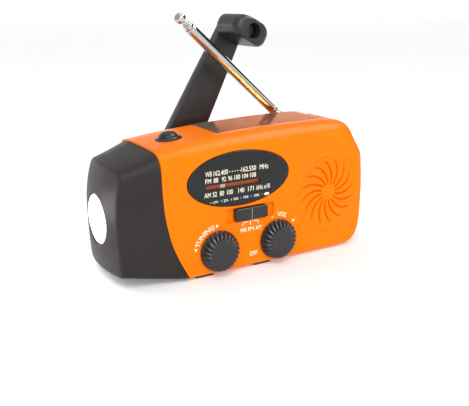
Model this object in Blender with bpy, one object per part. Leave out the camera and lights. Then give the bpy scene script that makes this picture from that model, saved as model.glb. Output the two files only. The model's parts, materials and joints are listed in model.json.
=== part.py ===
"""Hand-crank emergency radio: a sub-part per object, 1 unit = 1 m, +Z up, front towards -Y.

X runs along the case from the lamp head (-X) to the sockets (+X). X = 0 and Y = 0 are the middle of
the case and Z = 0 is its flat underside. Sizes below are in millimetres.
"""

import math

import bmesh
import bpy
import numpy as np

MM = 0.001
GAP = 0.3
HALF_DEPTH = 22.5
WALL = 2.0
SPLIT_Y = 3.35
TOP_ROUND = 7.0
EDGE_ROUND = 1.4

# The joint between the case and the lamp head, as X against Z.
SEAM_Z = np.array([0.0, 6.0, 12.0, 18.0, 24.0, 30.0, 36.0, 43.0, 49.7, 54.0, 57.0])
SEAM_X = np.array([-27.2, -30.4, -33.2, -35.4, -36.8, -37.9, -38.4, -38.7, -38.9, -39.2, -39.6])
# The arched top and the bowed right end, as seen from the front.
TOP_X = np.array([-39.5, -29.0, -18.0, -7.0, 5.0, 15.0, 25.0, 35.0, 43.0, 48.5])
TOP_Z = np.array([55.3, 56.6, 57.6, 58.5, 59.2, 59.6, 59.9, 60.0, 60.0, 59.9])
END = [(56.4, 0.0), (58.4, 0.5), (61.0, 2.2), (62.8, 4.5), (63.9, 7.6), (64.4, 10.9), (64.75, 17.0),
       (64.8, 23.5), (64.7, 29.0), (64.4, 34.0), (63.9, 39.0), (63.2, 44.0), (62.2, 48.4),
       (60.9, 52.2), (59.1, 55.4), (56.8, 57.7), (53.9, 59.1)]

# Crank
HUB = np.array([-17.4, 30.0])
LEAN = math.radians(28.5)
ARM_A = np.array([math.sin(LEAN), math.cos(LEAN)])
ARM_B = np.array([math.cos(LEAN), -math.sin(LEAN)])
ARM_Y = (22.8, 28.0)
PIN_Y = 25.4
GRIP_A = 78.4
REAR_R = 72.7

# Front face
DIAL = (-3.0, 40.6)
TUNE = (-13.65, 10.27)
VOLUME = (16.1, 10.27)
SPEAKER = (44.2, 27.6)
SLIDER = (2.25, 24.55)
LENS_Z = 25.6

# Aerial
MAST = np.array([43.6, 18.6, 57.6])
MAST_TIP = np.array([-20.1, -1.5, 105.8])


def top_z(x):
    return np.interp(x, np.append(TOP_X, END[-1][0]), np.append(TOP_Z, END[-1][1]))


def crown(y):
    """How far the top has fallen at a depth, towards the rear."""
    return 3.0 * np.clip((np.asarray(y) - 6.0) / 16.5, 0.0, 1.0) ** 2


def start():
    for obj in list(bpy.data.objects):
        bpy.data.objects.remove(obj, do_unlink=True)
    groups = []
    for name in ("emergency_radio", "cutters"):
        group = bpy.data.collections.new(name)
        bpy.context.scene.collection.children.link(group)
        groups.append(group)
    groups[1].hide_render = True
    return groups


PARTS, CUTTERS = start()


def finish(name, colour, rough, metal=0.0):
    mat = bpy.data.materials.new(name)
    mat.use_nodes = True
    shader = mat.node_tree.nodes["Principled BSDF"]
    shader.inputs["Base Color"].default_value = (*colour, 1.0)
    shader.inputs["Roughness"].default_value = rough
    shader.inputs["Metallic"].default_value = metal
    return mat


ORANGE = ((0.90, 0.22, 0.01), 0.35, 0.0)
DARK = ((0.05, 0.045, 0.045), 0.45, 0.0)
BLACK = ((0.035, 0.035, 0.035), 0.4, 0.0)
CHROME = ((0.8, 0.8, 0.8), 0.12, 1.0)
STEEL = ((0.55, 0.55, 0.56), 0.35, 1.0)
WHITE = ((0.85, 0.85, 0.83), 0.4, 0.0)
GREEN = ((0.02, 0.16, 0.06), 0.4, 0.0)


def add(name, verts, faces, look=None, pivot=(0.0, 0.0, 0.0)):
    """A closed mesh from points in mm. look is None for a cutter; pivot is the object's origin."""
    mesh = bpy.data.meshes.new(name)
    points = (np.asarray(verts, float) - np.asarray(pivot, float)) * MM
    mesh.from_pydata(points.tolist(), [], [list(map(int, face)) for face in faces])
    bm = bmesh.new()
    bm.from_mesh(mesh)
    bmesh.ops.recalc_face_normals(bm, faces=bm.faces)
    bm.to_mesh(mesh)
    bm.free()
    obj = bpy.data.objects.new(name, mesh)
    obj.location = [value * MM for value in pivot]
    if look is None:
        CUTTERS.objects.link(obj)
        obj.hide_render = True
        obj.display_type = "WIRE"
    else:
        PARTS.objects.link(obj)
        mesh.materials.append(finish(name, *look))
    return obj


def loft(name, rings, look=None, closed=False, **extra):
    """Joins rings of points. A ring of one point is a pole; open ends are capped; closed joins last to first."""
    verts, faces, starts = [], [], []
    for ring in rings:
        starts.append(len(verts))
        verts.extend(np.atleast_2d(ring))
    pairs = list(zip(range(len(rings) - 1), range(1, len(rings))))
    if closed:
        pairs.append((len(rings) - 1, 0))
    for one, two in pairs:
        n = max(len(np.atleast_2d(rings[one])), len(np.atleast_2d(rings[two])))
        pole_one = len(np.atleast_2d(rings[one])) == 1
        pole_two = len(np.atleast_2d(rings[two])) == 1
        for i in range(n):
            j = (i + 1) % n
            if pole_one:
                faces.append((starts[one], starts[two] + i, starts[two] + j))
            elif pole_two:
                faces.append((starts[one] + i, starts[one] + j, starts[two]))
            else:
                faces.append((starts[one] + i, starts[one] + j, starts[two] + j, starts[two] + i))
    if not closed:
        for k in (0, len(rings) - 1):
            size = len(np.atleast_2d(rings[k]))
            if size > 1:
                faces.append(tuple(starts[k] + i for i in range(size)))
    return add(name, verts, faces, look, **extra)


def axes_of(along):
    w = np.asarray(along, float) / np.linalg.norm(along)
    u = np.cross(w, (0.0, 0.0, 1.0) if abs(w[2]) < 0.9 else (0.0, 1.0, 0.0))
    u /= np.linalg.norm(u)
    return u, np.cross(w, u), w


def circle(at, along, radius, height=0.0, n=48):
    u, v, w = axes_of(along)
    a = np.linspace(0, 2 * math.pi, n, endpoint=False)[:, None]
    radius = np.reshape(radius * np.ones(n), (n, 1))
    return np.asarray(at, float) + height * w + radius * (np.cos(a) * u + np.sin(a) * v)


def turned(name, profile, at, along, look=None, n=48, **extra):
    """Revolves (radius, height) points about a line. A profile off the axis at both ends is a closed ring."""
    rings = []
    for r, h in profile:
        ring = circle(at, along, r, h, n)
        rings.append(ring if r > 0 else ring[:1])
    closed = profile[0][0] > 0 and profile[-1][0] > 0
    return loft(name, rings, look, closed=closed, **extra)


def rod(name, at, along, radius, length, look=None, n=32, edge=0.0, **extra):
    profile = [(0, 0), (radius - edge, 0)] + ([(radius, edge), (radius, length - edge)] if edge else
                                            [(radius, length)])
    if edge:
        profile.append((radius - edge, length))
    return turned(name, profile + [(0, length)], at, along, look, n, **extra)


def slab(name, outline, low, high, axis="y", look=None, edge=0.0, **extra):
    """Extrudes a 2-D outline along an axis. The outline's two numbers are the other two axes in order."""
    pts = np.asarray(outline, float)
    middle = (pts.max(0) + pts.min(0)) / 2
    half = (pts.max(0) - pts.min(0)) / 2
    rings = []
    steps = [(low, 0.0), (high, 0.0)]
    if edge:
        steps = [(low, edge), (low + edge, 0.0), (high - edge, 0.0), (high, edge)]
    for level, shrink in steps:
        flat = middle + (pts - middle) * (half - shrink) / half
        column = np.full(len(flat), level)
        order = {"x": (column, flat[:, 0], flat[:, 1]), "y": (flat[:, 0], column, flat[:, 1]),
                 "z": (flat[:, 0], flat[:, 1], column)}[axis]
        rings.append(np.stack(order, 1))
    return loft(name, rings, look, **extra)


def rounded(cx, cz, width, height, radius, steps=5):
    """A rounded rectangle's outline."""
    out = []
    for sx, sz, a0 in ((1, -1, -90), (1, 1, 0), (-1, 1, 90), (-1, -1, 180)):
        for a in np.radians(np.linspace(a0, a0 + 90, steps)):
            out.append((cx + sx * (width / 2 - radius) + radius * math.cos(a),
                        cz + sz * (height / 2 - radius) + radius * math.sin(a)))
    return out


def ellipse(cx, cz, a, b, n=44):
    t = np.linspace(0, 2 * math.pi, n, endpoint=False)
    return np.stack((cx + a * np.cos(t), cz + b * np.sin(t)), 1)


def block(name, low, high, look=None, radius=0.0, axis="y", edge=0.0, **extra):
    low, high = np.asarray(low, float), np.asarray(high, float)
    keep = [i for i in range(3) if i != "xyz".index(axis)]
    mid, size = (low + high) / 2, high - low
    outline = rounded(mid[keep[0]], mid[keep[1]], size[keep[0]], size[keep[1]], radius, 4) if radius else [
        (low[keep[0]], low[keep[1]]), (high[keep[0]], low[keep[1]]),
        (high[keep[0]], high[keep[1]]), (low[keep[0]], high[keep[1]])]
    k = "xyz".index(axis)
    return slab(name, outline, low[k], high[k], axis, look, edge, **extra)


def boolean(target, how, *others):
    for other in others:
        mod = target.modifiers.new(other.name, "BOOLEAN")
        mod.operation = how
        mod.solver = "EXACT"
        mod.object = other


# ---------------------------------------------------------------- case outline
def case_ring(y, wall, top_round, edge_round, half):
    """The case outline at one depth. The top edge is rounded most, and the top falls towards the rear."""
    depth = half - abs(y)

    def inset(radius):
        return wall + (radius - math.sqrt(max(radius ** 2 - (radius - depth) ** 2, 0.0)) if depth < radius else 0.0)

    top_in, end_in = inset(top_round), inset(edge_round)
    curve = np.array(END + [(x, z) for x, z in zip(TOP_X[::-1][:-1], TOP_Z[::-1][:-1])])
    tangent = np.gradient(curve, axis=0)
    normal = np.stack((tangent[:, 1], -tangent[:, 0]), 1)
    normal /= np.linalg.norm(normal, axis=1)[:, None]
    normal[0] = (0.0, -1.0)
    share = np.clip((curve[:, 1] - 43.0) / 12.0, 0.0, 1.0)
    share = share * share * (3 - 2 * share)
    curve[:, 1] -= crown(y) * share
    curve = curve - normal * (end_in + (top_in - end_in) * share)[:, None]
    seam_in = wall if wall else 0.0
    z_high, z_low = TOP_Z[0] - crown(y) - top_in, end_in
    column = np.linspace(z_high, z_low, 9)
    seam = np.stack((np.interp(column, SEAM_Z, SEAM_X) + seam_in, column), 1)
    floor = np.stack((np.linspace(seam[-1, 0], curve[0, 0], 8)[1:-1], np.full(6, z_low)), 1)
    flat = np.concatenate((curve, seam, floor))
    return np.stack((flat[:, 0], np.full(len(flat), y), flat[:, 1]), 1)


def case_solid(name, wall, low, high, half, top_round, edge_round):
    steps = [0.0, 0.4, 1.4, 2.6, 4.4, top_round]
    levels = [-half + s for s in steps] + [6.0, 10.0, 13.0] + [half - s for s in steps[::-1]]
    levels = sorted({round(min(max(y, low), high), 4) for y in levels})
    return loft(name, [case_ring(y, wall, top_round, edge_round, half) for y in levels])


def hub_cylinder(name, radius, low, high):
    return rod(name, (HUB[0], low, HUB[1]), (0, 1, 0), radius, high - low, n=90)


def from_loft(name, source, look):
    """A node that starts as the whole case outline and is trimmed by modifiers."""
    obj = bpy.data.objects.new(name, source.data.copy())
    PARTS.objects.link(obj)
    obj.data.materials.append(finish(name, *look))
    return obj


outer = case_solid("case_outer", 0.0, -HALF_DEPTH, HALF_DEPTH, HALF_DEPTH, TOP_ROUND, EDGE_ROUND)
room_front = case_solid("room_front", WALL, -HALF_DEPTH + WALL, SPLIT_Y - 2.15, HALF_DEPTH - WALL, 5.0, 0.5)
room_rear = case_solid("room_rear", WALL + 0.5, -8.0, HALF_DEPTH - WALL, HALF_DEPTH - WALL, 5.0, 0.5)
mast_wall = rod("mast_wall", (MAST[0], MAST[1], 52.2), (0, 0, 1), 11.0, 20.0)
groove_wall = block("groove_wall", (-60, 13.3, 52.2), (MAST[0], 30, 70))
boolean(room_rear, "DIFFERENCE", mast_wall, groove_wall)
boolean(room_rear, "INTERSECT", hub_cylinder("hub_room", REAR_R - 2.2, -30, 30))

pocket = rod("mast_pocket", (MAST[0], MAST[1], 54.4), (0, 0, 1), 9.0, 20.0, n=48)
groove = block("mast_groove", (-60, 15.5, 54.4), (MAST[0], 30, 70))
solar_hole = slab("solar_hole", [(x, top_z(x) - 1.2) for x in np.linspace(-8.3, 50.3, 14)] +
                  [(50.3, 70), (-8.3, 70)], -12.3, 12.3)
LEAN_BUTTON = np.array([-0.095, 0.0, 1.0]) / math.hypot(0.095, 1.0)
BUTTON = np.array([-27.0, -4.0, top_z(-27.0)])
button_hole = rod("button_hole", BUTTON - 6 * LEAN_BUTTON, LEAN_BUTTON, 4.7, 12.0, n=40)

front = from_loft("front_shell", outer, ORANGE)
boolean(front, "INTERSECT", block("front_half", (-80, -40, -20), (90, SPLIT_Y - 0.15, 80)))
boolean(front, "DIFFERENCE", room_front, room_rear, solar_hole, button_hole)
ring_up = turned("speaker_ring", [(17.0, 0), (18.8, 0), (18.8, 0.9), (18.3, 1.15), (17.5, 1.25), (17.0, 1.05)],
                 (SPEAKER[0], -HALF_DEPTH + 0.9, SPEAKER[1]), (0, -1, 0), n=40)
boolean(front, "UNION", ring_up)
holes = [
    slab("dial_recess", ellipse(*DIAL, 25.0, 12.0), -30, -21.2),
    slab("dial_opening", ellipse(*DIAL, 23.4, 10.6), -30, -18),
    slab("slider_recess", rounded(*SLIDER, 23.9, 6.3, 1.2, 4), -30, -21.2),
    slab("slider_slot", rounded(*SLIDER, 10.8, 2.6, 0.8, 3), -30, -18),
    rod("tune_hole", (TUNE[0], -30, TUNE[1]), (0, 1, 0), 2.5, 12, n=24),
    rod("volume_hole", (VOLUME[0], -30, VOLUME[1]), (0, 1, 0), 2.5, 12, n=24),
    rod("speaker_hole", (SPEAKER[0], -30, SPEAKER[1]), (0, 1, 0), 17.0, 12, n=40),
    block("usb_hole", (50, -9.3, 9.9), (80, -2.7, 24.1), radius=0.6, axis="x"),
    block("micro_hole", (50, -7.9, 27.3), (80, -4.1, 36.0), radius=0.8, axis="x"),
    rod("jack_hole", (50, -15.0, 8.6), (1, 0, 0), 3.3, 20, n=24),
]
boolean(front, "DIFFERENCE", *holes)

rear = from_loft("rear_shell", outer, ORANGE)
boolean(rear, "INTERSECT", block("rear_half", (-80, SPLIT_Y + 0.15, -20), (90, 40, 80)),
        hub_cylinder("hub_case", REAR_R, -40, 40))
boolean(rear, "DIFFERENCE", room_rear, pocket, groove, solar_hole,
        rod("shaft_hole", (HUB[0], 15, HUB[1]), (0, 1, 0), 3.6, 20, n=32),
        block("door_recess", (4.0, 21.2, 5.0), (46.0, 30, 24.0), radius=1.5),
        block("door_opening", (6.0, 15, 7.0), (44.0, 30, 22.0), radius=1.0))

FEET = {"left": (-24.0, -15.0), "right": (5.0, 14.0)}
for side, sign, shell in (("front", -1, front), ("rear", 1, rear)):
    for name, (x0, x1) in FEET.items():
        y0, y1 = sorted((sign * 21.0, sign * 17.4))
        block(f"foot_{side}_{name}", (x0, y0, -1.2), (x1, y1, 0.3), BLACK, radius=1.0, axis="z")
        boolean(shell, "DIFFERENCE", block(f"foot_pocket_{side}_{name}", (x0 - GAP, y0 - GAP, -5),
                                           (x1 + GAP, y1 + GAP, 0.6), radius=1.2, axis="z"))

# ---------------------------------------------------------------- lamp head
def head_section(t, inset):
    """The head's outline part way from the joint (0) to the tip (1), as (y, z) points."""
    low = 5.7 * max(t - 0.16, 0.0) ** 1.1 + inset
    high = TOP_Z[0] + 1.1 - 7.4 * t - inset
    half_low = HALF_DEPTH + 0.6 - 4.2 * t - inset
    half_high = HALF_DEPTH + 0.8 - 5.5 * t - inset
    r_low = max(EDGE_ROUND + 0.6 * t - inset, 0.4)
    sides = []
    r_high = max(TOP_ROUND - 2.0 * t - inset, 3.0)
    for sign in (1, -1):
        side = []
        for a in np.radians(np.linspace(-90, 0, 4)):
            side.append((half_low - r_low + r_low * math.cos(a), low + r_low + r_low * math.sin(a)))
        for f in np.linspace(0, 1, 8)[1:-1]:
            z = low + r_low + (high - r_high - low - r_low) * f
            side.append((half_low + (half_high - half_low) * f ** 2, z))
        for a in np.radians(np.linspace(0, 90, 7)):
            side.append((half_high - r_high + r_high * math.cos(a), high - r_high + r_high * math.sin(a)))
        sides.append(np.array(side)[::sign] * (sign, 1))
    flat = np.concatenate(sides)
    flat[:, 1] -= crown(flat[:, 0]) * np.clip((flat[:, 1] - 43.0) / 12.0, 0.0, 1.0)
    return flat


def end_x(y, z):
    above, below = np.maximum(z - 28.0, 0.0), np.maximum(20.0 - z, 0.0)
    return -59.6 + 2.6 * (y / 17.0) ** 2 + 0.0087 * above ** 2 + 0.003 * below ** 2


def head_solid(name, inset, start_shift, tip_shift, look=None):
    rings = []
    for t in np.linspace(0, 1, 6):
        sec = head_section(t, inset)
        near = np.interp(sec[:, 1], SEAM_Z, SEAM_X) + start_shift
        far = end_x(sec[:, 0], sec[:, 1]) + tip_shift + 0.9
        rings.append(np.stack((near + (far - near) * t, sec[:, 0], sec[:, 1]), 1))
    tip = head_section(1.0, inset)
    centre = np.array([0.0, LENS_Z])
    for scale, back in ((0.985, 0.25), (0.955, 0.0), (0.8, 0.0), (0.62, 0.0), (0.4, 0.0), (0.2, 0.0)):
        sec = centre + (tip - centre) * scale
        rings.append(np.stack((end_x(sec[:, 0], sec[:, 1]) + tip_shift + back, sec[:, 0], sec[:, 1]), 1))
    rings.append(np.array([[end_x(0, LENS_Z) + tip_shift, 0.0, LENS_Z]]))
    return loft(name, rings, look)


head = head_solid("lamp_housing", 0.0, 4.0, 0.0, DARK)
head_room = head_solid("head_room", 2.0, 9.0, 2.6)
seam_line = [(x - GAP, z) for x, z in zip(SEAM_X, SEAM_Z)]
seam_cut = slab("seam_cut", [(SEAM_X[0] - GAP, -9.0)] + seam_line + [(SEAM_X[-1] - GAP, 75.0), (90, 75), (90, -9)],
                -40, 40)
boolean(head, "DIFFERENCE", seam_cut, head_room, rod("lens_hole", (-70, 0, LENS_Z), (1, 0, 0), 10.8, 20, n=44))

turned("lens_bezel", [(9.5, 0), (10.5, 0), (10.5, 6.2), (10.1, 6.6), (9.7, 6.6), (9.5, 6.2)],
       (-52.0, 0, LENS_Z), (-1, 0, 0), CHROME, n=44)
turned("lamp_lens", [(0, 0), (9.2, 0), (9.2, 1.8), (8.0, 2.3), (5.4, 2.7), (2.7, 2.9), (0, 2.95)],
       (-55.6, 0, LENS_Z), (-1, 0, 0), ((0.95, 0.95, 0.95), 0.1, 0.0), n=48)
turned("reflector", [(3.0, 0), (5.8, 2.0), (8.0, 4.9), (9.2, 8.8), (8.4, 8.8), (7.3, 5.5), (5.2, 2.8), (3.0, 0.9)],
       (-46.2, 0, LENS_Z), (-1, 0, 0), CHROME, n=40)
rod("led_board", (-44.0, 0, LENS_Z), (-1, 0, 0), 6.8, 1.6, GREEN, n=32)
turned("led_emitter", [(0, 0), (2.2, 0), (2.2, 0.8), (1.7, 1.6), (0.9, 2.1), (0, 2.3)],
       (-45.9, 0, LENS_Z), (-1, 0, 0), WHITE, n=24)

# ---------------------------------------------------------------- dial, slider, speaker
slab("dial_window", ellipse(*DIAL, 24.7, 11.7), -22.55, -21.5, "y", ((0.2, 0.2, 0.2), 0.05, 0.0), edge=0.25)
block("dial_plate", (-29.5, -19.1, 28.4), (24.5, -18.3, 53.0), BLACK, radius=3.0)
POINTER_X = -11.0
pointer = block("dial_pointer", (POINTER_X - 0.5, -20.1, 31.0), (POINTER_X + 0.5, -19.5, 49.0), WHITE,
                pivot=(POINTER_X, -19.8, 40.0))
slider = slab("band_slider", rounded(*SLIDER, 16.3, 5.5, 1.0, 4), -23.9, -21.5, "y", BLACK, edge=0.3,
              pivot=(SLIDER[0], -22.0, SLIDER[1]))
boolean(slider, "UNION", block("slider_stem", (SLIDER[0] - 1.5, -22.0, SLIDER[1] - 0.95),
                               (SLIDER[0] + 1.5, -19.9, SLIDER[1] + 0.95)))
block("band_switch", (SLIDER[0] - 7.5, -19.5, 21.4), (SLIDER[0] + 7.5, -15.0, 27.8), STEEL, radius=0.5)


def swirl_slots(count, inner, outer_r, width, sweep):
    """Curved slots as separate closed solids: each follows an arc from the inner to the outer circle."""
    verts, faces = [], []
    steps = np.linspace(0, 1, 6)
    for k in range(count):
        base = 2 * math.pi * k / count
        radius = inner + (outer_r - inner) * steps
        angle = base + math.radians(sweep) * steps ** 1.5
        mid = np.stack((radius * np.cos(angle), radius * np.sin(angle)), 1)
        run = np.gradient(mid, axis=0)
        side = np.stack((-run[:, 1], run[:, 0]), 1) / np.linalg.norm(run, axis=1)[:, None]
        half = (width / 2) * (0.45 + 0.55 * steps)[:, None]
        edge = np.concatenate((mid + side * half, (mid - side * half)[::-1]))
        first = len(verts)
        for y in (-26.0, -18.0):
            verts.extend((SPEAKER[0] + x, y, SPEAKER[1] + z) for x, z in edge)
        n = len(edge)
        faces.append([first + i for i in range(n)])
        faces.append([first + n + i for i in range(n)][::-1])
        faces.extend((first + i, first + n + i, first + n + (i + 1) % n, first + (i + 1) % n) for i in range(n))
    return add("grille_slots", verts, faces)


grille = turned("speaker_grille", [(0, 0), (16.4, 0), (16.7, 0.3), (16.7, 1.2), (16.0, 1.5), (0, 1.9)],
                (SPEAKER[0], -20.9, SPEAKER[1]), (0, -1, 0), ORANGE, n=40)
boolean(grille, "DIFFERENCE", swirl_slots(16, 4.0, 15.3, 1.6, 26.0))
turned("speaker_frame", [(14.2, 0), (15.8, 0), (15.8, 3.0), (11.0, 8.0), (9.6, 8.0), (14.2, 2.4)],
       (SPEAKER[0], -20.2, SPEAKER[1]), (0, 1, 0), STEEL, n=40)
turned("speaker_cone", [(0, 4.6), (4.5, 4.6), (13.7, 0.6), (13.7, 1.2), (4.7, 5.4), (0, 5.4)],
       (SPEAKER[0], -20.0, SPEAKER[1]), (0, 1, 0), BLACK, n=32)
rod("speaker_magnet", (SPEAKER[0], -11.9, SPEAKER[1]), (0, 1, 0), 9.0, 2.5, STEEL, n=28)

# ---------------------------------------------------------------- knobs


def knob(name, at):
    """A control knob: a smooth foot, a fluted conical flank and a dished face, bored for its spindle."""
    flutes, n = 26, 52
    wave = 0.5 - 0.5 * np.cos(np.arange(n) * 2 * math.pi * flutes / n)
    levels = [(0.0, 0, 3.6), (2.15, 0, 3.6), (2.15, 0, 0.0), (8.7, 0, 0.0), (9.03, 0, 0.3), (9.03, 0, 0.9),
              (8.7, 0.3, 1.2), (8.2, 0.6, 2.2), (6.8, 0.5, 4.2), (6.0, 0.0, 5.0), (5.2, 0, 5.2), (5.05, 0, 4.6),
              (0.0, 0, 4.6)]
    rings = []
    for radius, depth, height in levels:
        ring = circle((at[0], -22.8, at[1]), (0, -1, 0), radius - depth * wave, height, n)
        rings.append(ring if radius > 0 else ring[:1])
    pivot = (at[0], -22.8, at[1])
    loft(name, rings, BLACK, pivot=pivot)
    turned(name + "_cap", [(0, 0), (4.75, 0), (4.75, 0.3), (4.2, 0.5), (0, 0.55)], (at[0], -27.7, at[1]),
           (0, -1, 0), DARK, n=32, pivot=pivot)
    rod(name.replace("knob", "spindle"), (at[0], -26.1, at[1]), (0, 1, 0), 2.0, 7.2, STEEL, n=24, pivot=pivot)


knob("tuning_knob", TUNE)
knob("volume_knob", VOLUME)
block("tuning_capacitor", (TUNE[0] - 7, -18.6, TUNE[1] - 6.4), (TUNE[0] + 7, -12.5, TUNE[1] + 7), WHITE, radius=0.6)
rod("volume_potentiometer", (VOLUME[0], -18.6, VOLUME[1]), (0, 1, 0), 6.8, 6.0, STEEL, n=32)

# ---------------------------------------------------------------- top: button and solar panel
turned("button_collar", [(4.15, -2.6), (4.4, -2.6), (4.4, 0.1), (5.6, 0.2), (5.6, 0.5), (5.2, 0.8), (4.15, 1.0)],
       BUTTON + 0.25 * LEAN_BUTTON, LEAN_BUTTON, BLACK, n=40)
turned("lamp_button", [(0, -2.2), (3.85, -2.2), (3.85, 1.5), (3.4, 2.2), (2.5, 2.75), (1.3, 3.05), (0, 3.1)],
       BUTTON, LEAN_BUTTON, ((0.03, 0.03, 0.03), 0.7, 0.0), n=40, pivot=tuple(BUTTON))
span = np.linspace(-7.9, 49.9, 16)
slab("solar_cell", [(x, top_z(x) - 0.9) for x in span] + [(x, top_z(x) - 0.5) for x in span[::-1]], -11.9, 11.9,
     "y", ((0.03, 0.02, 0.05), 0.2, 0.0))
slab("solar_cover", [(x, top_z(x) - 0.2) for x in span] + [(x, top_z(x) + 0.45) for x in span[::-1]], -12.0, 12.0,
     "y", ((0.3, 0.3, 0.3), 0.05, 0.0))

# ---------------------------------------------------------------- inside the case
block("main_board", (-22, -6.6, 7), (36, -5.0, 50), GREEN, radius=1.0)
block("battery_pack", (14, 6.0, 27), (44, 13.0, 49), ((0.1, 0.12, 0.4), 0.4, 0.0), radius=1.0, edge=0.8)

MODULE = 0.6
TEETH = (54, 12)


def gear(name, teeth, at, low, high, phase, look, pivot):
    """A spur gear with straight-sided stub teeth, running along Y."""
    pitch = MODULE * teeth / 2
    out = []
    for k in range(teeth):
        for share, radius in ((-0.27, pitch - 0.62), (-0.14, pitch + 0.34), (0.14, pitch + 0.34), (0.27, pitch - 0.62)):
            a = phase + (k + share) * 2 * math.pi / teeth
            out.append((at[0] + radius * math.cos(a), at[1] + radius * math.sin(a)))
    return slab(name, out, low, high, "y", look, pivot=pivot)


HUB_AT = (HUB[0], PIN_Y, HUB[1])
wheel = gear("crank_gear", TEETH[0], HUB, 11.0, 13.5, 0.0, WHITE, pivot=HUB_AT)
boolean(wheel, "DIFFERENCE", rod("gear_bore", (HUB[0], 5, HUB[1]), (0, 1, 0), 3.3, 15, n=32))
ROTOR = (HUB[0] + MODULE * sum(TEETH) / 2, HUB[1])
pinion = gear("generator_pinion", TEETH[1], ROTOR, 10.8, 13.7, math.pi / TEETH[1] + math.pi, STEEL,
              pivot=(ROTOR[0], 12.0, ROTOR[1]))
boolean(pinion, "UNION", rod("rotor_shaft", (ROTOR[0], 6.0, ROTOR[1]), (0, 1, 0), 1.2, 6.0, n=20))
turned("generator_body", [(1.5, 0), (7.6, 0), (8.0, 0.4), (8.0, 10.6), (7.6, 11.0), (1.5, 11.0)],
       (ROTOR[0], -1.0, ROTOR[1]), (0, 1, 0), STEEL, n=32)
plate = block("gear_plate", (-30, 14.6, 14), (12, 15.8, 46), WHITE, radius=3.0)
boolean(plate, "DIFFERENCE", rod("plate_hole", (HUB[0], 10, HUB[1]), (0, 1, 0), 3.3, 10, n=32))

# ---------------------------------------------------------------- sockets on the right end
usb = block("usb_a_socket", (46, -9.0, 10.2), (63.3, -3.0, 23.8), STEEL, radius=0.5, axis="x")
boolean(usb, "DIFFERENCE", block("usb_inside", (48, -8.55, 10.65), (70, -3.45, 23.35)))
block("usb_tongue", (48.3, -5.6, 11.6), (58.5, -3.75, 22.4), WHITE, radius=0.3, axis="x")
micro = block("micro_usb_socket", (55, -7.6, 27.6), (62.8, -4.4, 35.7), STEEL, radius=0.7, axis="x")
boolean(micro, "DIFFERENCE", block("micro_inside", (57.5, -7.2, 28.0), (70, -4.8, 35.3), radius=0.5, axis="x"))
turned("earphone_socket", [(1.85, 0), (3.0, 0), (3.0, 12.4), (2.6, 12.8), (1.85, 12.8)], (50.2, -15.0, 8.6),
       (1, 0, 0), BLACK, n=28)
block("battery_door", (4.3, 21.5, 5.3), (45.7, 22.5, 23.7), ORANGE, radius=1.3, edge=0.2)

SCREWS = ((-31.5, 46.5), (-22.0, 9.0), (40.0, 30.0), (30.0, 46.0))
for k, (x, z) in enumerate(SCREWS):
    rod(f"case_screw_{k + 1}", (x, 19.8, z), (0, 1, 0), 2.2, 2.1, STEEL, n=20, edge=0.2)
    boolean(rear, "DIFFERENCE", rod(f"screw_hole_{k}", (x, 19.3, z), (0, 1, 0), 2.5, 8, n=20))

# ---------------------------------------------------------------- crank


def crank_point(a, b, y):
    flat = HUB + a * ARM_A + b * ARM_B
    return np.array([flat[0], y, flat[1]])


def crank_slab(name, outline, low, high, look=None, edge=0.0, pivot=(0, 0, 0)):
    """Extrudes an outline of (along, across) points of the arm between two depths."""
    pts = np.asarray(outline, float)
    run = np.roll(pts, -1, 0) - np.roll(pts, 1, 0)
    out = np.stack((run[:, 1], -run[:, 0]), 1) / np.linalg.norm(run, axis=1)[:, None]
    rings = []
    steps = [(low, edge), (low + edge, 0.0), (high - edge, 0.0), (high, edge)] if edge else [(low, 0), (high, 0)]
    for level, shrink in steps:
        flat = pts - out * shrink
        rings.append([crank_point(a, b, level) for a, b in flat])
    return loft(name, [np.array(ring) for ring in rings], look, pivot=pivot)


def barrel(name, a, radius, half, look=None, pivot=(0, 0, 0), n=32):
    axis = np.array([ARM_B[0], 0, ARM_B[1]])
    return rod(name, crank_point(a, -half, PIN_Y), axis, radius, 2 * half, look, n, pivot=pivot)


HUB_PIVOT = tuple(crank_point(0, 0, PIN_Y))
TIP_PIVOT = tuple(crank_point(GRIP_A, 0, 14.0))
tongue = barrel("crank_hub", 0.0, 2.6, 3.9, BLACK, pivot=HUB_PIVOT)
boolean(tongue, "UNION", rod("hub_neck", (HUB[0], 22.9, HUB[1]), (0, 1, 0), 3.4, 2.5, n=32),
        rod("hub_shaft", (HUB[0], 9.5, HUB[1]), (0, 1, 0), 3.0, 15.0, n=32))
boolean(tongue, "DIFFERENCE", barrel("hub_bore", 0.0, 1.35, 6.0, n=24))
barrel("crank_pin", 0.0, 1.2, 9.0, STEEL, pivot=HUB_PIVOT, n=24)

def arm_outline():
    """Half-width along the arm: broad at the hub, narrowing to the tip, with rounded corners."""
    stations = np.array([-2.5, 0.0, 8.0, 16.0, 24.0, 34.0, 45.0, 56.0, 66.0, 74.0])
    half = np.array([9.2, 9.7, 9.7, 9.2, 8.5, 7.6, 7.0, 6.4, 6.0, 5.8])
    right = [(a, h) for a, h in zip(stations, half)]
    cap = [(76.2 + 5.8 * math.sin(t), 5.8 * math.cos(t)) for t in np.linspace(0.1, math.pi - 0.1, 11)]
    left = [(a, -h) for a, h in zip(stations[::-1], half[::-1])]
    return (right + cap + left)[::-1]


arm = crank_slab("crank_arm", arm_outline(), *ARM_Y, BLACK, edge=0.7, pivot=HUB_PIVOT)
boolean(arm, "DIFFERENCE",
        crank_slab("arm_slot", [(4.7, -4.2), (-9, -4.2), (-9, 4.2), (4.7, 4.2)], 15, 40),
        barrel("arm_pin_hole", 0.0, 1.35, 12.0, n=24))
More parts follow.
